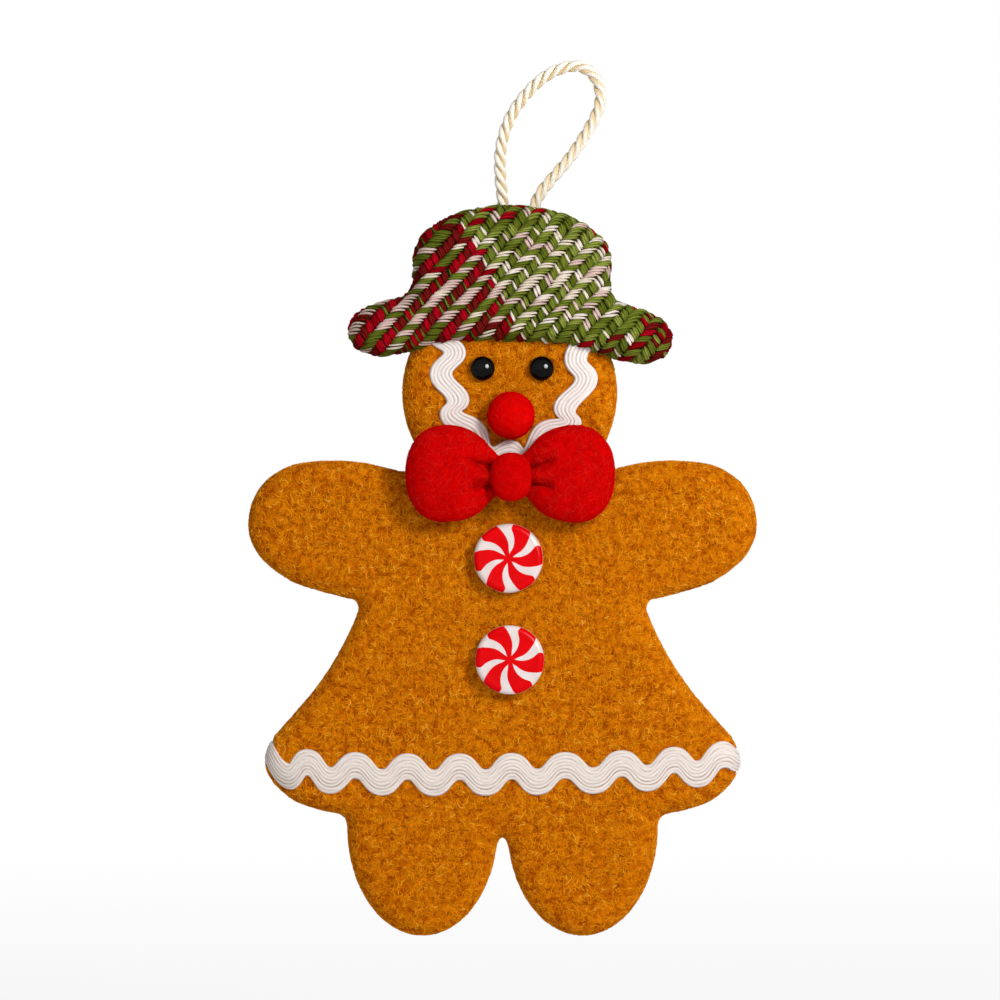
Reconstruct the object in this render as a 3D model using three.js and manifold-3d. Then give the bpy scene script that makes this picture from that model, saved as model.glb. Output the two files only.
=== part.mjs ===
// Padded gingerbread figure with a woven hat, felt bow and nose, wavy braid trim,
// bead eyes, two flat-backed buttons and a twisted cord loop that it hangs by.
// Millimetres, +Z up. The front faces -Y, and the origin is where the loop hangs.

import * as THREE from 'three';
import { mergeVertices } from 'three/addons/utils/BufferGeometryUtils.js';
import Module from 'manifold-3d';

const wasm = await Module();
wasm.setup();

// Fits shared by all pieces
const clearance = 0.3;
const overrun = 2;
const weld = 0.0001;
const outlineStep = 7;
const glueThickness = 0.4;
const trimThickness = 1;
const trimGap = 0.4;

// Legs: each is a half ellipse below the skirt
const leg = { height: 30, toe: 27, halfWidth: 18.7, gap: 2.6, crotchDrop: 2.5 };
const toeTurn = THREE.MathUtils.degToRad(15);

// Skirt: its flare as shares of the way out from the leg, then x as shares of its half width,
// both with z as shares of its height, from the leg to the armpit
const skirt = { height: 53, halfWidth: 59.25 };
const flareShares = [[0.135, 0.01], [0.351, 0.028], [0.654, 0.071], [0.905, 0.158]];
const skirtShares = [
  [1, 0.249], [0.972, 0.354], [0.901, 0.448], [0.793, 0.59], [0.707, 0.731], [0.64, 0.873],
  [0.606, 0.967],
];

// Arms: x as shares of the reach, z as shares of the height, from the armpit to the neck
const arm = { height: 35.6, reach: 63.4 };
const armShares = [
  [0.607, 0.034], [0.729, 0.091], [0.838, 0.162], [0.942, 0.302], [0.99, 0.442], [1, 0.57],
  [0.982, 0.723], [0.927, 0.864], [0.828, 0.966], [0.689, 0.997], [0.552, 0.983], [0.41, 0.925],
];

// Head: a circle that sits a little to the side of the body's centre line
const head = { radius: 26.75, rise: 16.9, shift: 1.8 };
const neckTurn = THREE.MathUtils.degToRad(34);
const notchTurn = THREE.MathUtils.degToRad(49);

// Body layers: a cloth that rounds over its padding, and a felt that closes the back
const body = { front: 4.8, back: 3, edge: 6, rimInset: 1.6, cloth: 1.2, felt: 1.2, feltInset: 2 };

// Hat: its own centre line, tilted over the head, with a front and a back panel
const hat = {
  seat: 10.75, crownHalfWidth: 25, crownHeight: 36.4, dome: 13.75, brimHalfWidth: 40.8,
  brimHeight: 14, brimRise: 1.5, cornerFillet: 3, front: 10, back: 6.3, edge: 4.5, cloth: 1.3,
};
const hatTilt = THREE.MathUtils.degToRad(1.7);
const brimShares = [
  [0.368, 0.057], [0.588, -0.093], [0.797, -0.196], [0.931, -0.093], [0.985, 0.086],
  [1, 0.271], [0.983, 0.457], [0.931, 0.636], [0.828, 0.779], [0.686, 0.9],
];

// Eyes: beads on shanks, each locked behind the cloth by a washer
const eye = {
  radius: 3, height: 3, spacing: 14.7, rise: 6, shift: 0.6, shankRadius: 1.1, shankLength: 5.5,
  washerRadius: 4, washerThickness: 0.8,
};

// Felt-covered domes: the nose, and the knot of the bow
const nose = { halfWidth: 5.9, halfHeight: 5.9, depth: 8, felt: 1, drop: 5.75, shift: 0.3 };
const knot = { halfWidth: 5.15, halfHeight: 6, depth: 4.6, felt: 0.8, drop: 0.75, shift: 0.3 };
const domeTurn = THREE.MathUtils.degToRad(40);

// Bow: cross-sections as shares of its half length, half height and half depth
const bow = {
  halfLength: 25.9, halfHeight: 12, halfDepth: 5.4, felt: 1.1, drop: 20.25, shift: 0.1,
  pinch: 7, slitLength: 8, slitWidth: 1, glueRadius: 3.5, glueOffset: 14.5, glueDrop: 4,
  threadWidth: 1.6, thread: 0.4,
};
const bowBackShare = 0.75;
const bowShares = [
  [0, 0.38, 0.2], [0.12, 0.42, 0.24], [0.2, 0.6, 0.34], [0.27, 0.8, 0.62], [0.36, 0.94, 0.86],
  [0.48, 1, 0.98], [0.64, 1, 1], [0.79, 0.91, 0.93], [0.91, 0.7, 0.76], [0.975, 0.42, 0.45],
  [1, 0.15, 0.15],
];

// Wavy braid: one strip along the hem, one round the face as shares of the head's radius
const hem = { width: 6.7, pitch: 12.95, wave: 2, height: 10.4, rise: 2.8, tilt: 0.7, shift: 2.25, wrap: 2 };
const faceTrimWidth = 5.8;
const faceTrimShares = [
  [-0.62, 0.48], [-0.516, 0.364], [-0.64, 0.168], [-0.485, -0.056], [-0.542, -0.215],
  [-0.332, -0.402], [-0.21, -0.598], [0.005, -0.547], [0.164, -0.617], [0.332, -0.411],
  [0.556, -0.29], [0.516, -0.131], [0.706, 0.108], [0.612, 0.304], [0.69, 0.48],
];

// Buttons: flat-backed discs, placed from the height of the armpits
const button = { radius: 8.6, thickness: 3.4, round: 1.3, crown: 0.3, shift: 1.8, glueRadius: 5 };
const buttonRises = { upper: 11, lower: -14.25 };

// Cord: the loop's centre line in x and z, from the left foot over the top to the right foot
const cord = { radius: 1.5, tail: 13, offset: -1.8 };
const cordRoute = [
  [0, 0], [-0.4, 2.9], [-0.6, 5.9], [-0.7, 8.9], [-0.5, 11.9], [0.1, 14.9], [1, 17.9],
  [2.4, 20.9], [4.4, 23.9], [6.9, 26.9], [9.3, 29.2], [12.1, 31.1], [15.3, 32.4], [18.6, 32.9],
  [21.4, 31.8], [23.4, 29.7], [24.4, 26.9], [24.5, 23.9], [23.6, 20.9], [22.1, 17.9],
  [20.3, 14.9], [18.3, 11.9], [16.1, 8.9], [13.5, 5.9], [10.9, 2.9], [8.9, 0],
];

// Places worked out from those sizes
const legX = leg.gap / 2 + leg.halfWidth;
const legSide = legX + leg.halfWidth;
const armpitHeight = leg.height + skirt.height;
const shoulderHeight = armpitHeight + arm.height;
const headHeight = shoulderHeight + head.rise;
const hatHeight = headHeight + hat.seat;
const pivotHeight = hatHeight + hat.crownHeight * Math.cos(hatTilt) + clearance + cord.radius;
const frontSeat = -(body.front + clearance);
const roundLength = (Math.PI / 4) * (body.edge + body.front);
const bowX = head.shift + bow.shift;
const bowHeight = headHeight - bow.drop;
const bowBack = -(body.front + trimGap + trimThickness + clearance);
const bowMiddle = bowBack - bowBackShare * bow.halfDepth;

// Colours
const gingerbread = { color: 0xa8650f, roughness: 0.95, metalness: 0 };
const brownFelt = { color: 0x8a5410, roughness: 0.95, metalness: 0 };
const wadding = { color: 0xe9e4d8, roughness: 1, metalness: 0 };
const tweed = { color: 0x55652f, roughness: 0.9, metalness: 0 };
const redFelt = { color: 0xc8060a, roughness: 0.9, metalness: 0 };
const whiteBraid = { color: 0xece7e2, roughness: 0.6, metalness: 0 };
const creamCord = { color: 0xe8e0c8, roughness: 0.45, metalness: 0 };
const blackPlastic = { color: 0x070707, roughness: 0.08, metalness: 0 };
const candyResin = { color: 0xe2202c, roughness: 0.12, metalness: 0 };
const clearGlue = { color: 0xd9cfa8, roughness: 0.4, metalness: 0 };
const whiteNylon = { color: 0xf0efe8, roughness: 0.5, metalness: 0 };

// Outlines in x and z

function sampled(path) {
  const points = [];
  for (const curve of path.curves) {
    const length = curve.getLength();
    if (length < weld) continue;
    const steps = Math.max(curve.isLineCurve ? 1 : 3, Math.round(length / outlineStep));
    for (let i = 0; i < steps; i += 1) points.push(curve.getPointAt(i / steps));
  }
  return points;
}

function mirrored(points) {
  return points.map((point) => new THREE.Vector2(-point.x, point.y)).reverse();
}

function scaledPoints(shares, width, height, base) {
  return shares.map(([x, z]) => new THREE.Vector2(x * width, base + z * height));
}

function onHead(turn) {
  const x = head.shift + head.radius * Math.cos(turn);
  return new THREE.Vector2(x, headHeight + head.radius * Math.sin(turn));
}

function halfFigure(skirtPoints, armPoints) {
  const crotch = leg.toe - leg.crotchDrop;
  const path = new THREE.Path();
  path.moveTo(0, crotch);
  path.quadraticCurveTo(
    leg.gap / 2, crotch,
    legX - leg.halfWidth * Math.cos(toeTurn), leg.toe - leg.toe * Math.sin(toeTurn),
  );
  path.absellipse(legX, leg.toe, leg.halfWidth, leg.toe, Math.PI + toeTurn, 2 * Math.PI, false);
  path.quadraticCurveTo(legSide, leg.height, skirtPoints[0].x, skirtPoints[0].y);
  path.splineThru(skirtPoints.slice(1));
  path.quadraticCurveTo(path.currentPoint.x, armPoints[0].y, armPoints[0].x, armPoints[0].y);
  path.splineThru(armPoints.slice(1));
  return sampled(path);
}

function figureOutline() {
  const flare = flareShares.map(([out, z]) => [
    THREE.MathUtils.lerp(legSide / skirt.halfWidth, 1, out), z,
  ]);
  const skirtPoints = scaledPoints(
    [...flare, ...skirtShares], skirt.halfWidth, skirt.height, leg.height,
  );
  const armPoints = scaledPoints(armShares, arm.reach, arm.height, armpitHeight);
  const half = halfFigure(skirtPoints, armPoints);
  const shoulder = armPoints.at(-1);
  const top = new THREE.Path();
  top.moveTo(shoulder.x, shoulder.y);
  top.quadraticCurveTo(...onHead(-notchTurn), ...onHead(-neckTurn));
  top.absarc(head.shift, headHeight, head.radius, -neckTurn, Math.PI + neckTurn, false);
  top.quadraticCurveTo(...onHead(Math.PI + notchTurn), -shoulder.x, shoulder.y);
  const farShoulder = new THREE.Vector2(-shoulder.x, shoulder.y);
  return [...half, ...sampled(top), farShoulder, ...mirrored(half.slice(1))];
}

function hatOutline() {
  const sideTop = hat.crownHeight - hat.dome;
  const path = new THREE.Path();
  path.moveTo(0, hat.brimRise);
  path.splineThru(scaledPoints(brimShares, hat.brimHalfWidth, hat.brimHeight, 0));
  path.quadraticCurveTo(
    hat.crownHalfWidth, hat.brimHeight,
    hat.crownHalfWidth, hat.brimHeight + hat.cornerFillet,
  );
  path.lineTo(hat.crownHalfWidth, sideTop);
  path.absellipse(0, sideTop, hat.crownHalfWidth, hat.dome, 0, Math.PI / 2, false);
  const half = sampled(path);
  const crownTop = new THREE.Vector2(0, hat.crownHeight);
  const whole = [...half, crownTop, ...mirrored(half.slice(1))];
  const seat = new THREE.Vector2(head.shift, hatHeight);
  return whole.map((point) => point.clone().rotateAround(new THREE.Vector2(), -hatTilt).add(seat));
}

// Moves each point of a closed outline in by a distance, square to its two edges
function inset(points, distance) {
  return points.map((point, i) => {
    const last = points.at(i - 1);
    const next = points[(i + 1) % points.length];
    const along = next.clone().sub(last).normalize();
    const edge = next.clone().sub(point).normalize();
    const inward = new THREE.Vector2(-along.y, along.x);
    return point.clone().addScaledVector(inward, distance / Math.max(along.dot(edge), 0.5));
  });
}

const figure = figureOutline();
const hatShape = hatOutline();

// Solids

function ringAt(points, y) {
  return points.map((point) => new THREE.Vector3(point.x, y, point.y));
}

function outlineFaces(ring) {
  return THREE.ShapeUtils.triangulateShape(ring.map((p) => new THREE.Vector2(p.x, p.z)), []);
}

function fanFaces(ring) {
  return ring.slice(2).map((_, i) => [0, i + 1, i + 2]);
}

// Joins rings of equal count from front to back, with a cap on the first and the last
function loft(rings, capFaces = outlineFaces) {
  const count = rings[0].length;
  const faces = [...capFaces(rings[0])];
  for (let row = 0; row + 1 < rings.length; row += 1) {
    for (let i = 0; i < count; i += 1) {
      const a = row * count + i;
      const b = row * count + ((i + 1) % count);
      faces.push([a, b + count, b], [a, a + count, b + count]);
    }
  }
  const base = (rings.length - 1) * count;
  for (const [a, b, c] of capFaces(rings.at(-1))) faces.push([base + a, base + c, base + b]);
  const geometry = new THREE.BufferGeometry().setFromPoints(rings.flat());
  geometry.setIndex(faces.flat());
  return geometry;
}

// Rings of an edge that rounds over, from the widest line at y = seam to the full depth
function roundedRings(points, start, width, seam, depth, steps) {
  const rings = [];
  for (let i = 0; i <= steps; i += 1) {
    const turn = (Math.PI / 2) * (i / steps);
    const shrunk = inset(points, start + width * (1 - Math.cos(turn)));
    rings.push(ringAt(shrunk, seam + depth * Math.sin(turn)));
  }
  return rings;
}

// A closed solid of a geometry: shared vertices merged, faces turned to point out
function solidOf(geometry) {
  const plain = new THREE.BufferGeometry();
  plain.setAttribute('position', geometry.getAttribute('position'));
  plain.setIndex(geometry.getIndex());
  const merged = mergeVertices(plain, weld);
  const vertProperties = new Float32Array(merged.getAttribute('position').array);
  const index = merged.getIndex().array;
  const corners = [];
  for (let i = 0; i < index.length; i += 3) {
    const [a, b, c] = index.slice(i, i + 3);
    if (a !== b && b !== c && c !== a) corners.push(a, b, c);
  }
  const outward = signedVolume(vertProperties, corners) > 0;
  const triVerts = new Uint32Array(outward ? corners : corners.reverse());
  return new wasm.Manifold(new wasm.Mesh({ numProp: 3, vertProperties, triVerts }));
}

function signedVolume(places, corners) {
  const vertex = (i) => new THREE.Vector3().fromArray(places, 3 * corners[i]);
  let volume = 0;
  for (let i = 0; i < corners.length; i += 3) {
    volume += vertex(i).dot(vertex(i + 1).cross(vertex(i + 2)));
  }
  return volume;
}

function geometryOf(solid) {
  const { vertProperties, triVerts } = solid.getMesh();
  const geometry = new THREE.BufferGeometry();
  geometry.setAttribute('position', new THREE.BufferAttribute(vertProperties, 3));
  geometry.setIndex(new THREE.BufferAttribute(triVerts, 1));
  return geometry;
}

// The first geometry with the others cut out of it
function cut(geometry, ...cutters) {
  return geometryOf(cutters.reduce((solid, cutter) => solid.subtract(solidOf(cutter)), solidOf(geometry)));
}

// A disc or rod along Y between two depths
function disc(radius, front, back, x, z, sides) {
  const geometry = new THREE.CylinderGeometry(radius, radius, back - front, sides);
  return geometry.translate(x, (front + back) / 2, z);
}

const figureGroup = new THREE.Group();

function add(name, geometry, look, parent = figureGroup) {
  geometry.computeVertexNormals();
  const mesh = new THREE.Mesh(geometry, new THREE.MeshStandardMaterial(look));
  mesh.name = name;
  parent.add(mesh);
  return mesh;
}

// Lays a flat pattern's point on the front: past the flat face it follows the round edge
function onFront(point, lift) {
  let gap = Infinity;
  const edge = new THREE.Vector2();
  const nearest = new THREE.Vector3();
  const target = new THREE.Vector3(point.x, point.y, 0);
  figure.forEach((corner, i) => {
    const next = figure[(i + 1) % figure.length];
    const side = new THREE.Line3(new THREE.Vector3(...corner, 0), new THREE.Vector3(...next, 0));
    side.closestPointToPoint(target, true, nearest);
    const distance = nearest.distanceTo(target);
    if (distance >= gap) return;
    gap = distance;
    edge.set(nearest.x, nearest.y);
  });
  const inward = insideFigure(point) ? 1 : -1;
  const past = body.edge - inward * gap;
  if (past <= 0) return new THREE.Vector3(point.x, -body.front - lift, point.y);
  const turn = (Math.PI / 2) * Math.min(past / roundLength, 1);
  const outward = point.clone().sub(edge).normalize().multiplyScalar(-inward);
  edge.addScaledVector(outward, lift * Math.sin(turn) - body.edge * (1 - Math.sin(turn)));
  const behind = Math.max(past - roundLength, 0);
  return new THREE.Vector3(edge.x, behind - (body.front + lift) * Math.cos(turn), edge.y);
}

function insideFigure(point) {
  let inside = false;
  figure.forEach((a, i) => {
    const b = figure.at(i - 1);
    const crosses = (a.y > point.y) !== (b.y > point.y);
    if (crosses && point.x < a.x + ((b.x - a.x) * (point.y - a.y)) / (b.y - a.y)) inside = !inside;
  });
  return inside;
}

// A flat strip on the front: a centre line with the direction of its width at each point
function strip(line, width, from, to) {
  const sections = line.map(({ centre, across }) => {
    const low = centre.clone().addScaledVector(across, -width / 2);
    const high = centre.clone().addScaledVector(across, width / 2);
    const places = [low, centre, high];
    const under = places.map((place) => onFront(place, from));
    const over = places.map((place) => onFront(place, to));
    return [...under, ...over.reverse()];
  });
  return geometryOf(solidOf(loft(sections, fanFaces)));
}

// Body

function bodyRings(shrink) {
  const front = roundedRings(figure, shrink, body.edge - shrink, 0, -(body.front - shrink), 3);
  const back = roundedRings(figure, shrink, body.rimInset, 0, body.back, 1);
  return [...front.reverse(), ...back.slice(1)];
}

function eyeHoles(radius, front, back, sides) {
  return eyePlaces().map(({ x }) => disc(radius, front, back, x, headHeight + eye.rise, sides));
}

function eyePlaces() {
  const middle = head.shift + eye.shift;
  return [
    { side: 'left', x: middle - eye.spacing / 2 },
    { side: 'right', x: middle + eye.spacing / 2 },
  ];
}

function addBody() {
  const inner = bodyRings(body.cloth).reverse();
  const innerFront = -(body.front - body.cloth);
  const shankHole = eye.shankRadius + clearance;
  const shankEnd = frontSeat + eye.shankLength;
  add('body_front_cloth', cut(
    loft([...bodyRings(0), ...inner]),
    ...eyeHoles(shankHole, -body.front - overrun, innerFront + overrun, 12),
  ), gingerbread);
  add('body_padding', cut(
    loft(bodyRings(body.cloth + clearance)),
    ...eyeHoles(
      eye.washerRadius + clearance, innerFront - overrun,
      innerFront + clearance + eye.washerThickness + clearance, 16,
    ),
    ...eyeHoles(shankHole, innerFront - overrun, shankEnd + clearance, 12),
  ), wadding);
  const felt = inset(figure, body.feltInset);
  const feltFront = body.back + clearance;
  add('body_back_felt', loft([ringAt(felt, feltFront), ringAt(felt, feltFront + body.felt)]), brownFelt);
}

// The room that the head takes up inside the hat
function headRoom() {
  const points = inset(figure, -clearance);
  const depth = -(body.front + clearance);
  const front = roundedRings(points, 0, body.edge + clearance, 0, depth, 3).reverse();
  return loft([...front, ringAt(points, body.back + body.felt + 2 * clearance)]);
}

// Cord

function cordFeet() {
  const left = head.shift + cord.offset;
  const span = cordRoute.at(-1)[0] - cordRoute[0][0];
  return [{ side: 'left', x: left }, { side: 'right', x: left + span }];
}

function uprightRod(radius, bottom, top, x) {
  const geometry = new THREE.CylinderGeometry(radius, radius, top - bottom, 8);
  return geometry.rotateX(Math.PI / 2).translate(x, 0, (bottom + top) / 2);
}

function tailHoles() {
  const tailTop = pivotHeight - cord.radius - clearance;
  const bottom = tailTop - cord.tail - clearance;
  return cordFeet().map(({ x }) => uprightRod(cord.radius + clearance, bottom, tailTop + overrun, x));
}

function addCord() {
  const tailTop = pivotHeight - cord.radius - clearance;
  for (const { side, x } of cordFeet()) {
    add(`cord_tail_${side}`, uprightRod(cord.radius, tailTop - cord.tail, tailTop, x), creamCord);
  }
  const left = cordFeet()[0].x;
  const route = cordRoute.map(([x, z]) => new THREE.Vector3(left + x, 0, pivotHeight + z));
  const curve = new THREE.CatmullRomCurve3(route, false, 'centripetal');
  const section = new THREE.Shape(
    Array.from({ length: 8 }, (_, i) => new THREE.Vector2(cord.radius, 0)
      .rotateAround(new THREE.Vector2(), (i * Math.PI) / 4)),
  );
  const steps = Math.round(curve.getLength() / (4 * cord.radius));
  const tube = new THREE.ExtrudeGeometry(section, { steps, bevelEnabled: false, extrudePath: curve });
  const ends = [route[0], route.at(-1)].map(({ x, y, z }) => (
    solidOf(new THREE.SphereGeometry(cord.radius, 8, 6).translate(x, y, z))
  ));
  const whole = ends.reduce((solid, end) => solid.add(end), solidOf(tube));
  add('hanging_cord', geometryOf(whole), creamCord);
}

// Hat

function hatPanel(side, depth) {
  const seam = (side * clearance) / 2;
  const outer = roundedRings(hatShape, 0, hat.edge, seam, side * depth - seam, 3);
  const innerDepth = side * (depth - hat.cloth) - seam;
  const inner = roundedRings(hatShape, hat.cloth, hat.edge - hat.cloth, seam, innerDepth, 3);
  return loft([...outer.reverse(), ...inner]);
}

function hatStuffing() {
  const shrink = hat.cloth + clearance;
  const edge = hat.edge - shrink;
  const front = roundedRings(hatShape, shrink, edge, 0, -(hat.front - shrink), 3).reverse();
  const back = roundedRings(hatShape, shrink, edge, 0, hat.back - shrink, 3);
  return loft([...front, ...back.slice(1)]);
}

function addHat() {
  const room = [headRoom(), ...tailHoles()];
  const trimRoom = strip(
    faceTrimLine(), faceTrimWidth + 2 * clearance, -clearance, trimGap + trimThickness + clearance,
  );
  add('hat_front_cloth', cut(hatPanel(-1, hat.front), ...room, trimRoom), tweed);
  add('hat_back_cloth', cut(hatPanel(1, hat.back), ...room), tweed);
  add('hat_padding', cut(hatStuffing(), ...room, trimRoom), wadding);
}

// Wavy braid

function faceTrimLine() {
  const points = scaledPoints(faceTrimShares, head.radius, head.radius, 0);
  const curve = new THREE.SplineCurve(points);
  return curve.getSpacedPoints(48).map((point) => ({
    centre: point.clone().add(new THREE.Vector2(head.shift, headHeight)),
    across: new THREE.Vector2(point.x, Math.min(point.y, 0)).normalize(),
  }));
}

function hemTrimLine() {
  const reach = skirt.halfWidth - body.edge + roundLength + hem.wrap;
  const steps = Math.round((8 * 2 * reach) / hem.pitch);
  return Array.from({ length: steps + 1 }, (_, i) => {
    const x = -reach + (2 * reach * i) / steps;
    const share = x / skirt.halfWidth;
    const base = hem.rise * Math.abs(share) ** 3 + hem.tilt * share;
    const wave = hem.wave * Math.cos((2 * Math.PI * (x - hem.shift)) / hem.pitch);
    return {
      centre: new THREE.Vector2(x, leg.height + hem.height + base + wave),
      across: new THREE.Vector2(0, 1),
    };
  });
}

function addTrim() {
  const outer = trimGap + trimThickness;
  add('face_rickrack', strip(faceTrimLine(), faceTrimWidth, trimGap, outer), whiteBraid);
  add('hem_rickrack', strip(hemTrimLine(), hem.width, trimGap, outer), whiteBraid);
}

// Eyes

function addEyes() {
  const inner = -(body.front - body.cloth);
  const washerFront = inner + clearance;
  for (const { side, x } of eyePlaces()) {
    const z = headHeight + eye.rise;
    const profile = new THREE.Path();
    profile.moveTo(0, -eye.height);
    profile.absellipse(0, 0, eye.radius, eye.height, -Math.PI / 2, 0, false);
    const dome = profile.getPoints(4).concat([
      new THREE.Vector2(eye.shankRadius, 0),
      new THREE.Vector2(eye.shankRadius, eye.shankLength),
      new THREE.Vector2(0, eye.shankLength),
    ]);
    const bead = add(`eye_${side}`, geometryOf(solidOf(new THREE.LatheGeometry(dome, 16))), blackPlastic);
    bead.position.set(x, frontSeat, z);
    const hole = eye.shankRadius + clearance;
    const ring = cut(
      disc(eye.washerRadius, washerFront, washerFront + eye.washerThickness, x, z, 16),
      disc(hole, washerFront - overrun, washerFront + overrun, x, z, 12),
    );
    add(`eye_washer_${side}`, ring, whiteNylon);
  }
}

// Felt domes

function domeArc(size, shrink, backDepth) {
  const rise = size.depth / (1 + Math.sin(domeTurn));
  const middle = rise * Math.sin(domeTurn);
  const radius = size.halfWidth - shrink;
  const depth = rise - shrink;
  const start = Math.asin((backDepth - middle) / depth);
  return Array.from({ length: 7 }, (_, i) => {
    const turn = Math.PI / 2 + (i / 6) * (start - Math.PI / 2);
    return new THREE.Vector2(radius * Math.cos(turn), -middle - depth * Math.sin(turn));
  });
}

function domeSolid(profile, size) {
  const geometry = geometryOf(solidOf(new THREE.LatheGeometry(profile, 16)));
  return geometry.scale(1, 1, size.halfHeight / size.halfWidth);
}

function addDome(name, size, x, y, z) {
  const cover = [...domeArc(size, 0, 0), ...domeArc(size, size.felt, 0).reverse()];
  const stuffingBack = glueThickness + clearance;
  const stuffing = domeArc(size, size.felt + clearance, stuffingBack);
  stuffing.push(new THREE.Vector2(0, -stuffingBack));
  add(`${name}_felt`, domeSolid(cover, size), redFelt).position.set(x, y, z);
  add(`${name}_padding`, domeSolid(stuffing, size), wadding).position.set(x, y, z);
  const mouth = domeArc(size, size.felt, 0).at(-1).x - clearance;
  const glue = disc(mouth, -glueThickness, 0, 0, 0, 12);
  add(`${name}_glue`, glue, clearGlue).position.set(x, y, z);
}

function addNose() {
  addDome('nose', nose, head.shift + nose.shift, frontSeat, headHeight - nose.drop);
}

// Bow

function bowSection(x, halfHeight, halfDepth, back) {
  return Array.from({ length: 16 }, (_, i) => {
    const turn = (2 * Math.PI * i) / 16;
    const y = Math.min(bowMiddle - halfDepth * Math.cos(turn), back);
    return new THREE.Vector3(bowX + x, y, bowHeight + halfHeight * Math.sin(turn));
  });
}

function bowSolid(shrink) {
  const length = bow.halfLength - shrink;
  const height = bow.halfHeight - shrink;
  const depth = bow.halfDepth - shrink;
  const right = bowShares.map((row) => [row[0] * length, row[1] * height, row[2] * depth]);
  const left = right.slice(1).reverse().map((row) => [-row[0], row[1], row[2]]);
  const sections = [...left, ...right].map((row) => bowSection(...row, bowBack - shrink));
  return solidOf(loft(sections, fanFaces));
}

// One lobe of the bow's inside, out past the pinch on the given side
function lobe(side, shrink) {
  const start = bow.pinch + shrink - bow.felt;
  const room = new THREE.BoxGeometry(bow.halfLength, 4 * bow.halfHeight, 4 * bow.halfHeight);
  room.translate(bowX + side * (start + bow.halfLength / 2), bowMiddle, bowHeight);
  return bowSolid(shrink).intersect(solidOf(room));
}

function turningSlit(side) {
  const slit = new THREE.BoxGeometry(bow.slitWidth, bow.halfDepth, bow.slitLength);
  return solidOf(slit.translate(bowX + side * bow.glueOffset, bowBack, bowHeight));
}

function gatheringThread() {
  const [, height, depth] = bowShares[1];
  const wrap = (spread, width) => {
    const rings = [-width / 2, width / 2].map((x) => (
      bowSection(x, height * bow.halfHeight + spread, depth * bow.halfDepth + spread, 0)
    ));
    return loft(rings, fanFaces);
  };
  return cut(wrap(clearance + bow.thread, bow.threadWidth), wrap(clearance, bow.threadWidth + overrun));
}

function addBow() {
  let cover = bowSolid(0);
  for (const side of [-1, 1]) {
    const name = side < 0 ? 'left' : 'right';
    cover = cover.subtract(lobe(side, bow.felt)).subtract(turningSlit(side));
    add(`bow_stuffing_${name}`, geometryOf(lobe(side, bow.felt + clearance)), wadding);
    const x = bowX + side * bow.glueOffset;
    const z = bowHeight - bow.glueDrop;
    const glue = disc(bow.glueRadius, bowBack + clearance, frontSeat, x, z, 12);
    add(`bow_glue_${name}`, glue, clearGlue);
  }
  add('bow_felt', geometryOf(cover), redFelt);
  add('bow_gathering_thread', gatheringThread(), redFelt);
  const threadFront = bowMiddle - bowShares[1][2] * bow.halfDepth - clearance - bow.thread;
  addDome('bow_knot', knot, head.shift + knot.shift, threadFront - clearance, bowHeight - knot.drop);
}

// Buttons

function addButtons() {
  const profile = new THREE.Path();
  profile.moveTo(0, -button.thickness);
  profile.lineTo(button.radius - button.round, button.crown - button.thickness);
  profile.absarc(
    button.radius - button.round, button.crown + button.round - button.thickness,
    button.round, -Math.PI / 2, 0, false,
  );
  const points = profile.getPoints(2).concat([
    new THREE.Vector2(button.radius - button.crown, 0),
    new THREE.Vector2(0, 0),
  ]);
  const glueBack = frontSeat;
  for (const [name, rise] of Object.entries(buttonRises)) {
    const z = armpitHeight + rise;
    const geometry = geometryOf(solidOf(new THREE.LatheGeometry(points, 32)));
    const mesh = add(`button_${name}`, geometry, candyResin);
    mesh.position.set(button.shift, glueBack - glueThickness - clearance, z);
    const glue = disc(button.glueRadius, glueBack - glueThickness, glueBack, button.shift, z, 12);
    add(`button_glue_${name}`, glue, clearGlue);
  }
}

addBody();
addHat();
addCord();
addTrim();
addEyes();
addNose();
addBow();
addButtons();

// The origin is the inside of the loop's highest point
const [hangX, hangRise] = cordRoute.reduce((high, place) => (place[1] > high[1] ? place : high));
figureGroup.position.set(-(cordFeet()[0].x + hangX), 0, -(pivotHeight + hangRise - cord.radius));

const ornament = new THREE.Group();
ornament.add(figureGroup);

export default ornament;
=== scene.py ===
"""Looks of the padded gingerbread ornament: boucle cloth, woven hat, felt bow, braid, candy buttons."""

import math
from types import SimpleNamespace as Sizes

import bpy
import numpy as np
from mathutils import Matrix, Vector, noise
from mathutils.bvhtree import BVHTree


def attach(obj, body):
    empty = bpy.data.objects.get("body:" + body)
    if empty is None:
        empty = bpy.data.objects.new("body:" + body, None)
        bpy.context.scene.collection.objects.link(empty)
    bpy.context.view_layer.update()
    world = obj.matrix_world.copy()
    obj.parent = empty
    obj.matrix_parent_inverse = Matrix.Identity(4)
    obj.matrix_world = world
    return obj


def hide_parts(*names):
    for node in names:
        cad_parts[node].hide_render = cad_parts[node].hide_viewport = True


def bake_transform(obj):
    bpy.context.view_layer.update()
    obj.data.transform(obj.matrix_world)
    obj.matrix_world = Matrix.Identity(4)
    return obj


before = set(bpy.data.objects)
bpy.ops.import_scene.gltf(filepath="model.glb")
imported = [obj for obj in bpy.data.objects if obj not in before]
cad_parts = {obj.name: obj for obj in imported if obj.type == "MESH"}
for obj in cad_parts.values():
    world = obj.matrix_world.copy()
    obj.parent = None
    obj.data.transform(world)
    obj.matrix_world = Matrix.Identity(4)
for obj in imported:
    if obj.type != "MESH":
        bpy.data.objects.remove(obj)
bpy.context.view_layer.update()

MM = 0.001
TAU = 2 * math.pi
rng = np.random.default_rng(20)

# Sizes in mm, as in part.mjs.

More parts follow.
